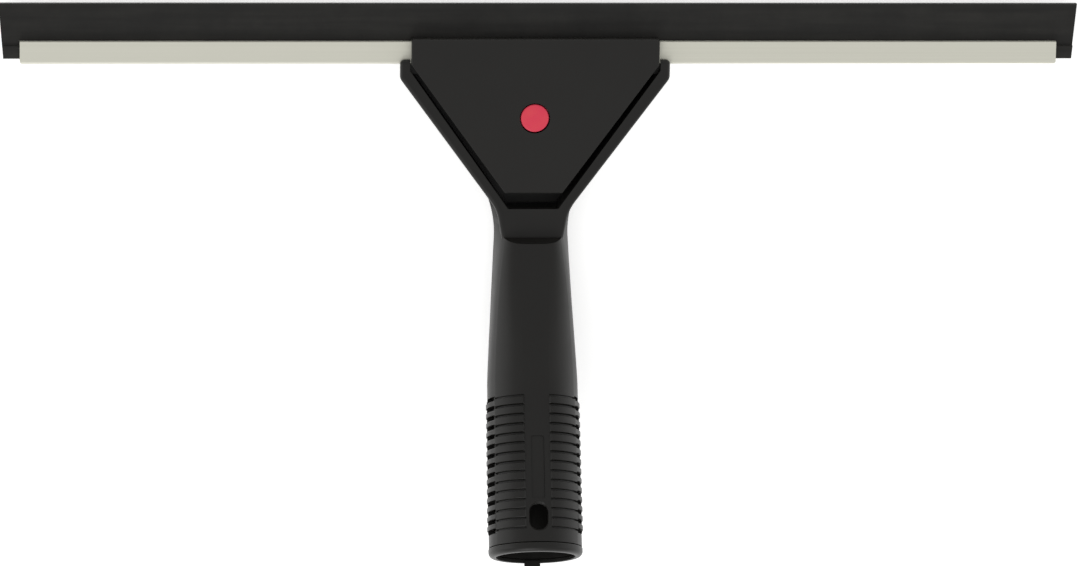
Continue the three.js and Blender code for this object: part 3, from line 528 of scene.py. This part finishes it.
# %% Sizes of the head
HORN_INNER, HORN_OUTER, HORN_TOP, HORN_STRAIGHT = 42.3, 45.6, 2.0, 4.4
HORN_TIP_RADIUS, HORN_FOOT_RADIUS, JAW_RADIUS = 1.5, 3.3, 2.0
RIM_WIDTH, RIM_FRONT, HEAD_DRAFT = 4.1, 13.7, 1.0
FLOOR_TOP, SEAT_WALL, SEAT_WALL_TOP = 2.5, 3.2, 10.5
BACK_JAW, CHANNEL_TOP, PLATE_UNDER = 3.7, 7.9, 11.8
PLATE_SIDE_START, PLATE_BOTTOM, TRAY_BOTTOM = 0.5, -43.5, -49.1
TRAY_HALF_TOP, TRAY_HALF_BOTTOM = 43.8, 12.5
SHELF_HALF, SHELF_END_HALF, SHELF_FILLET = 12.2, 10.4, 15.0
STEP_FOOT, STEP_RISE, STEP_LEAN = -58.9, 4.5, math.radians(16)
TRAY_SLOPE = (TRAY_HALF_TOP - TRAY_HALF_BOTTOM) / (PLATE_SIDE_START - PLATE_BOTTOM)
SPARE = 1.0
UNDER_FLOOR = FLOOR_TOP - SPARE
SAME_LEVEL = 0.001


def tray_half(y):
    """Half the tray's width at this height."""
    return TRAY_HALF_TOP - TRAY_SLOPE * (PLATE_SIDE_START - y)


def where_tray_is(half):
    """The height at which half the tray is this wide."""
    return PLATE_SIDE_START - (TRAY_HALF_TOP - half) / TRAY_SLOPE


def lean_in(shape):
    """Moves the side walls in, more at the back, as a moulding needs to leave its tool."""
    for corner in shape.verts:
        corner.co.x -= math.copysign(HEAD_DRAFT * (1 - corner.co.z / RIM_FRONT), corner.co.x)


def edges_at(shape, level):
    """The edges that lie flat at one level."""
    return [
        edge for edge in shape.edges
        if all(abs(v.co.z - level) < SAME_LEVEL for v in edge.verts)
    ]


print("the tray is", round(2 * tray_half(TRAY_BOTTOM), 1), "mm wide at its bottom")

# %% Head and back jaw
RIM_ROUNDING, RIM_SEGMENTS, BACK_ROUNDING, JAW_ROUNDING = 1.4, 6, 0.7, 0.35
head_shape = prism(mirrored([
    (HORN_OUTER, HORN_TOP, HORN_TIP_RADIUS),
    (HORN_OUTER, -HORN_STRAIGHT, HORN_FOOT_RADIUS),
    (SHELF_HALF, where_tray_is(SHELF_HALF - RIM_WIDTH), SHELF_FILLET),
    (SHELF_END_HALF, STEP_FOOT - SPARE),
]), 0, RIM_FRONT)
lean_in(head_shape)
soften(head_shape, edges_at(head_shape, RIM_FRONT), RIM_ROUNDING, RIM_SEGMENTS)
soften(head_shape, edges_at(head_shape, 0), BACK_ROUNDING)
handle = made(head_shape, "handle")

back_jaw = prism(mirrored([
    (HORN_OUTER, CHANNEL_TOP, JAW_RADIUS), (HORN_OUTER, -SPARE),
]), 0, BACK_JAW)
lean_in(back_jaw)
soften(back_jaw, edges_at(back_jaw, BACK_JAW) + edges_at(back_jaw, 0), JAW_ROUNDING)
work(handle, back_jaw, "UNION")
print("head and back jaw,", len(handle.data.polygons), "faces")

# %% [markdown]
# Neck and grip are one lofted body. Rings of points are set along it and bridged. At the grip a
# ring is round. Towards the head it grows squarer and narrower in front, its widest level sinks
# towards the back, and it flares out to meet the shelf. The grip leans 23 degrees out of the head.
# Round it run 15 grooves: thin lines in front, a deep pocket at each side and shallow dips at the
# back. The pockets go straight down to the widest level, because the tool opens that way. A smooth
# stripe stays free down the front.

# %% Sizes of the neck and grip
BEND = math.radians(23)
GRIP_LENGTH, GRIP_RADIUS, TAPER_LENGTH, TAPER_RADIUS = 104.5, 15.75, 60.0, 15.3
NECK_HALF, NECK_OVERLAP, FULL_FORM_SHARE = 11.4, 9.0, 0.9
FLARE_START, FLARE_END, FLARE, FLARE_POWER = -60.0, -40.1, 6.6, 2.0
NECK_LEAD, NECK_RINGS, NECK_POWER, SOLE = 0.7, 40, 1.5, 0.35
HEAD_FORM = {"level": 0.34, "front": 5.8, "back": 5.0, "keystone": 0.45}
ROUND_FORM = {"level": 0.5, "front": 2.0, "back": 2.0, "keystone": 0.0}
GROOVES, PITCH, FIRST_GROOVE = 15, 3.21, 8.1
RIB_RISE, RIB_RISE_TOP, LINE_DEPTH = 0.35, 0.65, 0.45
LINE_HALF, LINE_SHOULDER = 0.21, (0.1, 0.5)
SIDE_RISE, SIDE_DIP, DIP_SHOULDER, POCKET_HALF = 0.5, 0.3, (0.6, 1.0), 0.81
along_grip = Vector((0, math.cos(BEND), -math.sin(BEND)))
out_of_grip = Vector((0, math.sin(BEND), math.cos(BEND)))
step_rim = Vector((0, STEP_FOOT - STEP_RISE * math.tan(STEP_LEAN), RIM_FRONT + STEP_RISE))
grip_end = step_rim - along_grip * GRIP_LENGTH - out_of_grip * GRIP_RADIUS
TO_GRIP = Matrix.Translation(grip_end) @ Matrix.Rotation(-BEND, 4, "X")
print("grip ends at", [round(v, 3) for v in grip_end])

# %% Where the points of a ring lie
# Angles are in degrees from the middle of the front. Points stand close where the form bends. A
# hair's breadth tells which side of a limit a point is on.
STRIPE_HALF, STRIPE_EDGE, HAIR = 4.25, 1.3, 0.1
POCKET_START, POCKET_FLOOR, SIDE, BACK_STEPS = 61.0, 80.0, 90, 16
stripe_angle = math.degrees(math.asin(STRIPE_HALF / GRIP_RADIUS))
right_angles = [0, 5, 10, stripe_angle, stripe_angle + STRIPE_EDGE]
right_angles += [21, 27, 33, 39, 45, 51, 57, POCKET_START - 1, POCKET_START]
right_angles += [67, 72, 76, POCKET_FLOOR, 85, SIDE]
right_angles += [SIDE + SIDE / BACK_STEPS * i for i in range(1, BACK_STEPS)]
ring_angles = [math.radians(a) for a in right_angles] + [math.pi]
ring_angles += [-a for a in reversed(ring_angles[1:-1])]
print(len(ring_angles), "points in a ring")


# %% One ring
def mix(a, b, share):
    return a + (b - a) * share


def smoothstep(x, low, high):
    """Rises gently from 0 at low to 1 at high."""
    t = min(1, max(0, (x - low) / (high - low)))
    return t * t * (3 - 2 * t)


def power(value, squareness):
    """Turns a sine or cosine into that of a squarer or rounder ring; 2 keeps it a circle."""
    return math.copysign(abs(value) ** (2 / squareness), value)


def ring(front, back, half, form, front_rise=0.0, side_rise=0.0, pocket=0.0):
    """One loop of points between a front and a back point, this wide to each side.

    The rises lift its front and its sides out by so many millimetres. A pocket is sunk straight
    down at each side, from the front to the widest level.
    """
    middle = mix(back, front, form["level"])
    wall = math.sin(math.radians(POCKET_START))
    points = []
    for angle in ring_angles:
        in_front = abs(angle) < math.pi / 2
        reach = (front if in_front else back) - middle
        squareness = form["front" if in_front else "back"]
        outward = power(abs(math.cos(angle)), squareness)
        sideways = power(math.sin(angle), squareness)
        narrowing = 1 - form["keystone"] * outward if in_front else 1
        degrees = abs(math.degrees(angle))
        rise = 0
        if degrees > stripe_angle + HAIR:
            rise = front_rise if degrees < POCKET_START - HAIR else side_rise
        share = 1 + rise / half
        if pocket and POCKET_START - HAIR < degrees < SIDE - HAIR:
            down = min(1, (degrees - POCKET_START) / (POCKET_FLOOR - POCKET_START))
            out = max(0, (degrees - POCKET_FLOOR) / (SIDE - POCKET_FLOOR))
            sunk = math.copysign(mix(wall, share, out), angle)
            outward = mix(outward, math.cos(math.radians(POCKET_START)) * (1 - down), pocket)
            sideways = mix(sideways, sunk / share, pocket)
        point = middle + reach * outward * share
        points.append(Vector((sideways * half * narrowing * share, point.y, point.z)))
    return points


centre_ring = ring(out_of_grip, -out_of_grip, 1, ROUND_FORM)
print("a plain ring is", round(max(point.x for point in centre_ring), 3), "wide to each side")


# %% Rings along the grip
def rib_rises(distance):
    """How far the grip stands out here, in front and at the sides, and if its pocket is open."""
    nearest = round((distance - FIRST_GROOVE) / PITCH)
    nearest = min(GROOVES - 1, max(0, nearest))
    off = distance - FIRST_GROOVE - nearest * PITCH
    outside = (nearest == 0 and off < 0) or (nearest == GROOVES - 1 and off > 0)
    rise = 0 if outside else mix(RIB_RISE, RIB_RISE_TOP, distance / TAPER_LENGTH)
    off = abs(off)
    front = -LINE_DEPTH if off < LINE_HALF else rise * smoothstep(off, *LINE_SHOULDER)
    side = 0 if outside else SIDE_RISE - SIDE_DIP * (1 - smoothstep(off, *DIP_SHOULDER))
    return front, side, float(off < POCKET_HALF)


def grip_ring(distance):
    """The ring of the grip at a distance from its end."""
    centre = grip_end + along_grip * distance
    radius = mix(GRIP_RADIUS, TAPER_RADIUS, distance / TAPER_LENGTH)
    out = out_of_grip * radius
    return ring(centre + out, centre - out, radius, ROUND_FORM, *rib_rises(distance))


END_DISTANCES, TOP_DISTANCES = [0, 2.5, 4.5, 6], [55.5, 57.5, TAPER_LENGTH]
BEFORE_GROOVE = (-1.2, -1.0, -0.88, -0.82, -0.8, -0.5, -0.34, -0.2)
AFTER_GROOVE = (0, 0.2, 0.34, 0.5, 0.8, 0.82, 0.88, 1.0, 1.2, 1.6)
distances = list(END_DISTANCES)
for number in range(GROOVES):
    groove = FIRST_GROOVE + number * PITCH
    distances += [groove + off for off in BEFORE_GROOVE + AFTER_GROOVE]
distances += TOP_DISTANCES
grip_rings = [grip_ring(distance) for distance in distances]
print(len(grip_rings), "rings along the grip")


# %% Rings along the neck
def neck_rings():
    """The rings from the ribs' end into the head.

    The underside comes down to the table before the head's back begins, so the two join without
    a step.
    """
    centre = grip_end + along_grip * TAPER_LENGTH
    front_start = centre + out_of_grip * TAPER_RADIUS
    back_start = centre - out_of_grip * TAPER_RADIUS
    head_y = TRAY_BOTTOM + NECK_OVERLAP
    slope = (front_start.z - step_rim.z) / (step_rim.y - front_start.y)
    front_head = Vector((0, head_y, step_rim.z - slope * (head_y - step_rim.y)))
    back_head = Vector((0, head_y, 0))
    touchdown = Vector((0, back_start.y + back_start.z / math.tan(BEND), 0))
    flare_length = FLARE_END - FLARE_START
    rings = []
    for i in range(1, NECK_RINGS + 1):
        share = 1 - (1 - i / NECK_RINGS) ** NECK_POWER
        lead = share ** NECK_LEAD
        back = mix(mix(back_start, touchdown, lead), mix(touchdown, back_head, lead), lead)
        back.z = max(0, back.z - SOLE * share)
        front = mix(front_start, front_head, share)
        squared = min(1, share / FULL_FORM_SHARE) ** 2
        form = {key: mix(ROUND_FORM[key], HEAD_FORM[key], squared) for key in HEAD_FORM}
        flared = max(0, (mix(back.y, front.y, form["level"]) - FLARE_START) / flare_length)
        half = mix(TAPER_RADIUS, NECK_HALF, share) + FLARE * flared ** FLARE_POWER
        rings.append(ring(front, back, half, form))
    return rings


all_rings = grip_rings + neck_rings()
print(len(all_rings), "rings with the neck's")

# %% Neck and grip lofted
loft = bmesh.new()
loops = []
for points in all_rings:
    corners = [loft.verts.new(point) for point in points]
    loops.append([loft.edges.new((a, b)) for a, b in zip(corners, corners[1:] + corners[:1])])
for lower, upper in zip(loops, loops[1:]):
    bmesh.ops.bridge_loops(loft, edges=lower + upper)
close_ends(loft)
print("loft of", len(loops), "rings,", len(loft.faces), "faces")

# %% [markdown]
# The shelf is the flat place where the neck's front is cut down to the tray's rim, ending in a
# leaning step. The cutter is a wedge. The tray and the mouth for the channel are cut after the neck
# has joined the head, so that one clean wall runs through both.

# %% Neck joined, shelf cut
STEP_TALL = 2 * STEP_RISE + SPARE
SHELF_TOP = TRAY_BOTTOM + 2 * SPARE
join(handle, made(loft, "neck"))
work(handle, bar([
    (STEP_FOOT, RIM_FRONT), (SHELF_TOP, RIM_FRONT), (SHELF_TOP, RIM_FRONT + STEP_TALL),
    (STEP_FOOT - STEP_TALL * math.tan(STEP_LEAN), RIM_FRONT + STEP_TALL),
], -HORN_OUTER, HORN_OUTER))
print("neck joined,", len(handle.data.polygons), "faces")

# %% Tray and channel mouth cut out
TRAY_CORNER = 1.0
tray = made(prism(mirrored([
    (HORN_INNER, HORN_TOP + SPARE),
    (HORN_INNER, where_tray_is(HORN_INNER)),
    (tray_half(TRAY_BOTTOM), TRAY_BOTTOM, TRAY_CORNER),
]), FLOOR_TOP, RIM_FRONT + SPARE), "tray")
seat = rectangle(-SEAT_WALL, HORN_TOP + 2 * SPARE, UNDER_FLOOR, SEAT_WALL_TOP)
work(tray, bar(seat, -HORN_OUTER, HORN_OUTER))
join(handle, tray, "DIFFERENCE")
mouth_side = HORN_OUTER + SPARE
work(handle, prism([
    (mouth_side, 0), (mouth_side, HORN_TOP + SPARE),
    (-mouth_side, HORN_TOP + SPARE), (-mouth_side, 0),
], BACK_JAW, PLATE_UNDER))
print("tray cut,", len(handle.data.polygons), "faces")

# %% [markdown]
# A cut leaves edges that are sharper than any mould makes them, and a sharp edge catches no light.
# So the head's convex edges get a fine bevel. Hollow edges, soft edges and the ribbed grip are left
# as they are: an edge is picked by its angle and by where it lies.

# %% Small roundings on the head's cut edges
MOULD_EDGE, SHARPEST_LEFT = 0.22, math.radians(40)
head_shape = bmesh.new()
head_shape.from_mesh(handle.data)
crisp = [
    edge for edge in head_shape.edges
    if edge.is_convex and edge.calc_face_angle(0) > SHARPEST_LEFT
    and min(v.co.y for v in edge.verts) > STEP_FOOT
]
soften(head_shape, crisp, MOULD_EDGE, 2)
head_shape.to_mesh(handle.data)
head_shape.free()
print("edges rounded,", len(handle.data.polygons), "faces")

# %% [markdown]
# Inside the tray stand four ears that carry the two pivot pins, the post that the lock slide
# catches and the peg of the jaw spring. They are hidden under the plate, but a moulded tray has
# them, so they are joined on here. Then each pair of ears is bored through in one cut.

# %% Ears, lock post and spring peg
PIVOT_Y, PIVOT_Z, PIN_ROOM, BORE_HALF, BORE_MIDDLES = -11.0, 9.0, 1.6, 6.2, (-20.5, 20.5)
EAR_TOP, EAR_FOOT, EAR_THICKNESS, EAR_LEFTS = 2.3, 3.5, 3.0, (-26, -18, 15, 23)
POST_LOW, POST_HIGH, POST_TOP, POST_HALF = -35.95, -32.75, 5.9, 4
PEG_Y, PEG_RADIUS, PEG_TOP, PEG_CHAMFER = -39.65, 1.6, 4.3, 0.3
SMALL_STEPS = 32
ear = rounded([
    (PIVOT_Y - EAR_FOOT, UNDER_FLOOR), (PIVOT_Y + EAR_FOOT, UNDER_FLOOR),
    (PIVOT_Y + EAR_TOP, PIVOT_Z + EAR_TOP, EAR_TOP),
    (PIVOT_Y - EAR_TOP, PIVOT_Z + EAR_TOP, EAR_TOP),
])
for left in EAR_LEFTS:
    work(handle, bar(ear, left, left + EAR_THICKNESS), "UNION")
post = rectangle(POST_LOW, POST_HIGH, UNDER_FLOOR, POST_TOP)
work(handle, bar(post, -POST_HALF, POST_HALF), "UNION")
peg = turned([
    (0, UNDER_FLOOR), (PEG_RADIUS, UNDER_FLOOR), (PEG_RADIUS, PEG_TOP - PEG_CHAMFER),
    (PEG_RADIUS - PEG_CHAMFER, PEG_TOP), (0, PEG_TOP),
], AXIS_Z, SMALL_STEPS)
work(handle, shifted(peg, (0, PEG_Y, 0)), "UNION")
for middle in BORE_MIDDLES:
    bore = turned([
        (0, -BORE_HALF), (PIN_ROOM, -BORE_HALF), (PIN_ROOM, BORE_HALF), (0, BORE_HALF),
    ], AXIS_Z, SMALL_STEPS)
    work(handle, shifted(placed(bore, TO_SIDE), (middle, PIVOT_Y, PIVOT_Z)))
print("tray fitted,", len(handle.data.polygons), "faces")

# %% [markdown]
# The grip is hollow: a pole goes in from its end, down a slightly tapered socket. The ring's seat
# is a wider step at the mouth of the socket. Both are one profile, turned on the grip's axis and
# cut out together, so they share one centre.

# %% Socket and the ring's seat
SOCKET_RADIUS, SOCKET_END_RADIUS, SOCKET_DEPTH, SOCKET_STEPS = 13.35, 12.0, 66.0, 150
SOCKET_CHAMFER = 1.0
RING_HEIGHT, RING_PROUD, RING_WALL, RING_FACE, GAP = 3.0, 0.15, 1.2, 1.2, 0.3
RING_OUTER = GRIP_RADIUS + RING_PROUD
seat_inner = RING_OUTER - RING_WALL - GAP
socket = turned([
    (0, -SPARE), (RING_OUTER + SPARE, -SPARE), (RING_OUTER + SPARE, RING_HEIGHT + GAP),
    (seat_inner, RING_HEIGHT + GAP), (seat_inner, RING_FACE + GAP),
    (SOCKET_RADIUS, RING_FACE + GAP), (SOCKET_RADIUS, RING_HEIGHT),
    (SOCKET_END_RADIUS, SOCKET_DEPTH - SOCKET_CHAMFER),
    (SOCKET_END_RADIUS - SOCKET_CHAMFER, SOCKET_DEPTH), (0, SOCKET_DEPTH),
], AXIS_Y, SOCKET_STEPS)
work(handle, placed(socket, TO_GRIP))
print("socket cut,", len(handle.data.polygons), "faces")

# %% [markdown]
# A pole has a sprung catch that snaps into the oval hole in the stripe. The hole's edge is flared,
# so that a thumb can push the catch in. The cutter is an upright oval prism, and its top face is
# extruded once more and scaled up for the flare.

# %% Hole for the pole's catch
HOLE_MIDDLE, HOLE_HALF_LENGTH, HOLE_HALF_WIDTH, HOLE_CORNER = 11.85, 4.35, 3.1, 2.8
HOLE_INSIDE, FLARE_DEPTH, FLARE_RISE, FLARE_SCALE = 5, 0.75, 1.5, (1.4, 1.28, 1)
hole = prism(rounded(rectangle(
    HOLE_HALF_WIDTH, -HOLE_HALF_WIDTH,
    HOLE_MIDDLE + HOLE_HALF_LENGTH, HOLE_MIDDLE - HOLE_HALF_LENGTH, HOLE_CORNER,
)), HOLE_INSIDE, GRIP_RADIUS - FLARE_DEPTH)
top_face = max(hole.faces, key=lambda face: face.calc_center_median().z)
flared = extruded(hole, top_face)
bmesh.ops.delete(hole, geom=[top_face], context="FACES_ONLY")
to_middle = Matrix.Translation((0, -HOLE_MIDDLE, 0))
bmesh.ops.scale(hole, vec=FLARE_SCALE, space=to_middle, verts=flared)
bmesh.ops.translate(hole, vec=(0, 0, FLARE_RISE), verts=flared)
work(handle, placed(hole, TO_GRIP))
print("catch hole cut,", len(handle.data.polygons), "faces")

# %% [markdown]
# Further up the stripe lies a sunk panel with rounded corners. Its floor follows the round grip, so
# the cutter is a prism with the grip's core taken out of it. With this cut the handle is complete.

# %% Sunk panel, and the handle finished
PANEL_LOW, PANEL_HIGH, PANEL_HALF, PANEL_DEPTH = 17.8, 39.2, 2.2, 0.32
PANEL_CORNER, PANEL_INSIDE, CORE_STEPS = 0.8, 10, 180
panel = made(prism(rounded(rectangle(
    PANEL_HALF, -PANEL_HALF, PANEL_HIGH, PANEL_LOW, PANEL_CORNER,
)), PANEL_INSIDE, GRIP_RADIUS + SPARE), "panel")
core = turned([
    (0, -SPARE), (GRIP_RADIUS - PANEL_DEPTH, 0), (TAPER_RADIUS - PANEL_DEPTH, TAPER_LENGTH),
    (0, TAPER_LENGTH),
], AXIS_Y, CORE_STEPS)
work(panel, core)
panel.data.transform(TO_GRIP)
join(handle, panel, "DIFFERENCE")
finish(handle, handle_plastic, "handle", "black_plastic", "handle_body")

# %% [markdown]
# The ring is a separate plastic cap on the end of the grip. It stands a little proud, so its edge
# catches light, and its inside corner is rounded to lead a pole in. A small latch tab stands under
# its lower edge at the back. The cap is a turned profile and the tab a small block with soft edges.

# %% Socket ring
RING_EDGE, CAP_EDGE, LEAD_IN, CAP_STEPS = 1.8, 0.3, 0.25, 160
TAB_HALF, TAB_DEPTH, TAB_REACH, TAB_EDGE, TAB_INSET = 2.7, 2.0, 2.5, 0.35, 1.4
ring_inner = RING_OUTER - RING_WALL
cap_profile = rounded([
    (RING_OUTER, 0, RING_EDGE), (RING_OUTER, RING_HEIGHT, CAP_EDGE), (ring_inner, RING_HEIGHT),
    (ring_inner, RING_FACE), (SOCKET_RADIUS, RING_FACE), (SOCKET_RADIUS, 0, LEAD_IN),
])
cap_shape = turned(cap_profile + cap_profile[:1], AXIS_Y, CAP_STEPS)
cap = made(placed(cap_shape, TO_GRIP), "ring")
tab_back = -(RING_OUTER - TAB_INSET)
tab_outline = rectangle(TAB_HALF, -TAB_HALF, RING_FACE / 2, -TAB_REACH)
tab = prism(tab_outline, tab_back, tab_back + TAB_DEPTH)
soften(tab, [edge for edge in tab.edges if min(v.co.y for v in edge.verts) < -SPARE], TAB_EDGE)
work(cap, placed(tab, TO_GRIP), "UNION")
finish(cap, handle_plastic, "handle", "black_plastic", "socket_ring")

# %% [markdown]
# The release button is one moulding: a slightly domed cap, a flange that keeps it under the plate,
# and two legs whose ramps draw the lock slide back. The cap, the flange and the pocket for its
# spring are one profile turned on its axis, and each leg is an outline raised along X. The dome is
# only 0.2 mm, which is enough to shade it softly.

# %% Release button
BUTTON_Y, BUTTON_RADIUS, BUTTON_TOP, BUTTON_EDGE = -17.7, 4.75, 14.5, 0.5
DOME_FOOT, DOME = -0.08, [(3.2, 0.04), (1.6, 0.11), (0, 0.13)]
FLANGE_RADIUS, FLANGE_LOW, FLANGE_HIGH, POCKET_RADIUS, POCKET_TOP = 6.2, 10.5, 11.5, 3.15, 12.5
LEG_BACK, RAMP_FOOT, RAMP_TOP, LEG_LOW, RAMP_HIGH = -19.2, -17.2, -15.0, 6.8, 9.0
LEG_LEFTS, LEG_THICKNESS, LEG_ROOT = (-5.3, 3.7), 1.6, 0.5
button_shape = turned(rounded([
    (0, POCKET_TOP), (POCKET_RADIUS, POCKET_TOP), (POCKET_RADIUS, FLANGE_LOW),
    (FLANGE_RADIUS, FLANGE_LOW), (FLANGE_RADIUS, FLANGE_HIGH), (BUTTON_RADIUS, FLANGE_HIGH),
    (BUTTON_RADIUS, BUTTON_TOP + DOME_FOOT, BUTTON_EDGE),
    *[(radius, BUTTON_TOP + rise) for radius, rise in DOME],
]), AXIS_Z)
button = made(shifted(button_shape, (0, BUTTON_Y, 0)), "button")
leg = [
    (LEG_BACK, FLANGE_LOW + LEG_ROOT), (LEG_BACK, LEG_LOW), (RAMP_FOOT, LEG_LOW),
    (RAMP_TOP, RAMP_HIGH), (RAMP_TOP, FLANGE_LOW + LEG_ROOT),
]
for left in LEG_LEFTS:
    work(button, bar(leg, left, left + LEG_THICKNESS), "UNION")
finish(button, red_plastic, "button", "red_plastic", "release_button")

# %% [markdown]
# The rubber is extruded too: a bead that the channel holds and a flat lip. The strip is cut to
# length with slanted ends, so the wiping edge is the longest. Its section is raised along X and
# both ends are cut by a leaning plane. Its edges stay nearly sharp, because a squeegee wipes with
# them.

# %% Rubber blade
BLADE_SHIFT, BLADE_Z, RUBBER_HALF, LIP_TOP = 2.0, 7.75, 1.1, 20.5
BEAD_LOW, BEAD_HIGH, BEAD_HALF, BEAD_CORNER = 1.8, 6.4, 2.25, 0.7
LIP_END, BEAD_END, CUT_EDGE, LIP_ROOT = 182.1, 180.5, 0.12, 0.25
blade_shape = bar(rounded([
    (LIP_TOP, BLADE_Z + RUBBER_HALF, CUT_EDGE), (BEAD_HIGH, BLADE_Z + RUBBER_HALF, LIP_ROOT),
    (BEAD_HIGH, BLADE_Z + BEAD_HALF, BEAD_CORNER), (BEAD_LOW, BLADE_Z + BEAD_HALF, BEAD_CORNER),
    (BEAD_LOW, BLADE_Z - BEAD_HALF, BEAD_CORNER), (BEAD_HIGH, BLADE_Z - BEAD_HALF, BEAD_CORNER),
    (BEAD_HIGH, BLADE_Z - RUBBER_HALF, LIP_ROOT), (LIP_TOP, BLADE_Z - RUBBER_HALF, CUT_EDGE),
]), -LIP_END - SPARE, LIP_END + SPARE)
end_slope = (LIP_END - BEAD_END) / (LIP_TOP - BEAD_LOW)
for side in (-1, 1):
    everything = blade_shape.verts[:] + blade_shape.edges[:] + blade_shape.faces[:]
    bmesh.ops.bisect_plane(
        blade_shape, geom=everything, plane_co=(side * LIP_END, LIP_TOP, 0),
        plane_no=(side, -end_slope, 0), clear_outer=True,
    )
close_ends(blade_shape)
rubber_strip = made(shifted(blade_shape, (BLADE_SHIFT, 0, 0)), "rubber_strip")
finish(rubber_strip, rubber, "blade", "black_rubber", "rubber_blade")

# %% [markdown]
# Three coil springs work inside: one under the plate's lower end, one under the button and one
# behind the lock slide. A spring is wound from steel wire, with its end turns closed so that it
# stands square. Here the wire's round section is turned about the axis and rises a little at each
# step. A rigid spring would be cut through when the plate rocks; these coils keep their length.

# %% Winding a coil
TURN_STEPS, WIRE_SIDES, CLOSED_TURN = 20, 8, 0.75


def coil(radius, wire, turns, height):
    """A coil spring that stands on Z = 0, with a closed turn at each end."""
    shape = bmesh.new()
    upright = Matrix.Translation((radius, 0, wire)) @ Matrix.Rotation(math.pi / 2, 4, "X")
    section = bmesh.ops.create_circle(
        shape, segments=WIRE_SIDES, radius=wire, matrix=upright,
    )["verts"]
    leading = section + shape.edges[:]
    closed_rise = CLOSED_TURN * 2 * wire
    open_rise = height - 2 * wire - 2 * closed_rise
    closed, opened = (CLOSED_TURN, closed_rise), (turns - 2 * CLOSED_TURN, open_rise)
    for share, rise in (closed, opened, closed):
        steps = round(share * TURN_STEPS)
        spun = bmesh.ops.spin(
            shape, geom=leading, cent=(0, 0, 0), axis=AXIS_Z, dvec=(0, 0, rise / steps),
            angle=2 * math.pi * share, steps=steps,
        )
        leading = spun["geom_last"]
    close_ends(shape)
    return shape


def spring(name, shape, place, node, body):
    """Places a coil for its CAD node, and gives it a mesh of its own."""
    piece = made(placed(shape, place), name)
    finish(piece, steel, body, "steel", node)
    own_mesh(piece)


print("a turn has", TURN_STEPS, "steps")

# %% Coil springs
JAW_SEAT, BUTTON_SEAT, SLIDE_SEAT = (0, PEG_Y, 2.8), (0, BUTTON_Y, 6.8), (0, -26.15, 7.4)
on_floor, on_cover = Matrix.Translation(JAW_SEAT), Matrix.Translation(BUTTON_SEAT)
to_back = Matrix.Translation(SLIDE_SEAT) @ Matrix.Rotation(math.pi / 2, 4, "X")
spring("jaw_coil", coil(radius=2.5, wire=0.4, turns=5.5, height=8.7), on_floor,
       "jaw_spring", "handle")
spring("button_coil", coil(radius=2.6, wire=0.25, turns=4, height=5.4), on_cover,
       "button_spring", "jaw")
spring("slide_coil", coil(radius=1.2, wire=0.2, turns=4, height=4.4), to_back,
       "lock_slide_spring", "jaw")

# %% [markdown]
# The other nodes keep their CAD shape, which is right for the flat plate, the small mouldings
# behind it, an extrusion, plain pins and screws, and bent sheet. Each one gets the finish of what
# it is made of. Their meshes aren't touched.

# %% Finishes on the CAD nodes
finishes = {
    plate_plastic: ["jaw_plate"],
    handle_plastic: ["lock_slide", "mechanism_cover"],
    aluminium: ["channel"],
    steel: [
        "jaw_pin_left", "jaw_pin_right", "cover_screw_left", "cover_screw_right",
        "rubber_clip_left", "rubber_clip_right",
    ],
}
for surface, names in finishes.items():
    for name in names:
        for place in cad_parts[name].material_slots:
            place.material = surface
    print(surface.name, "on", ", ".join(names))
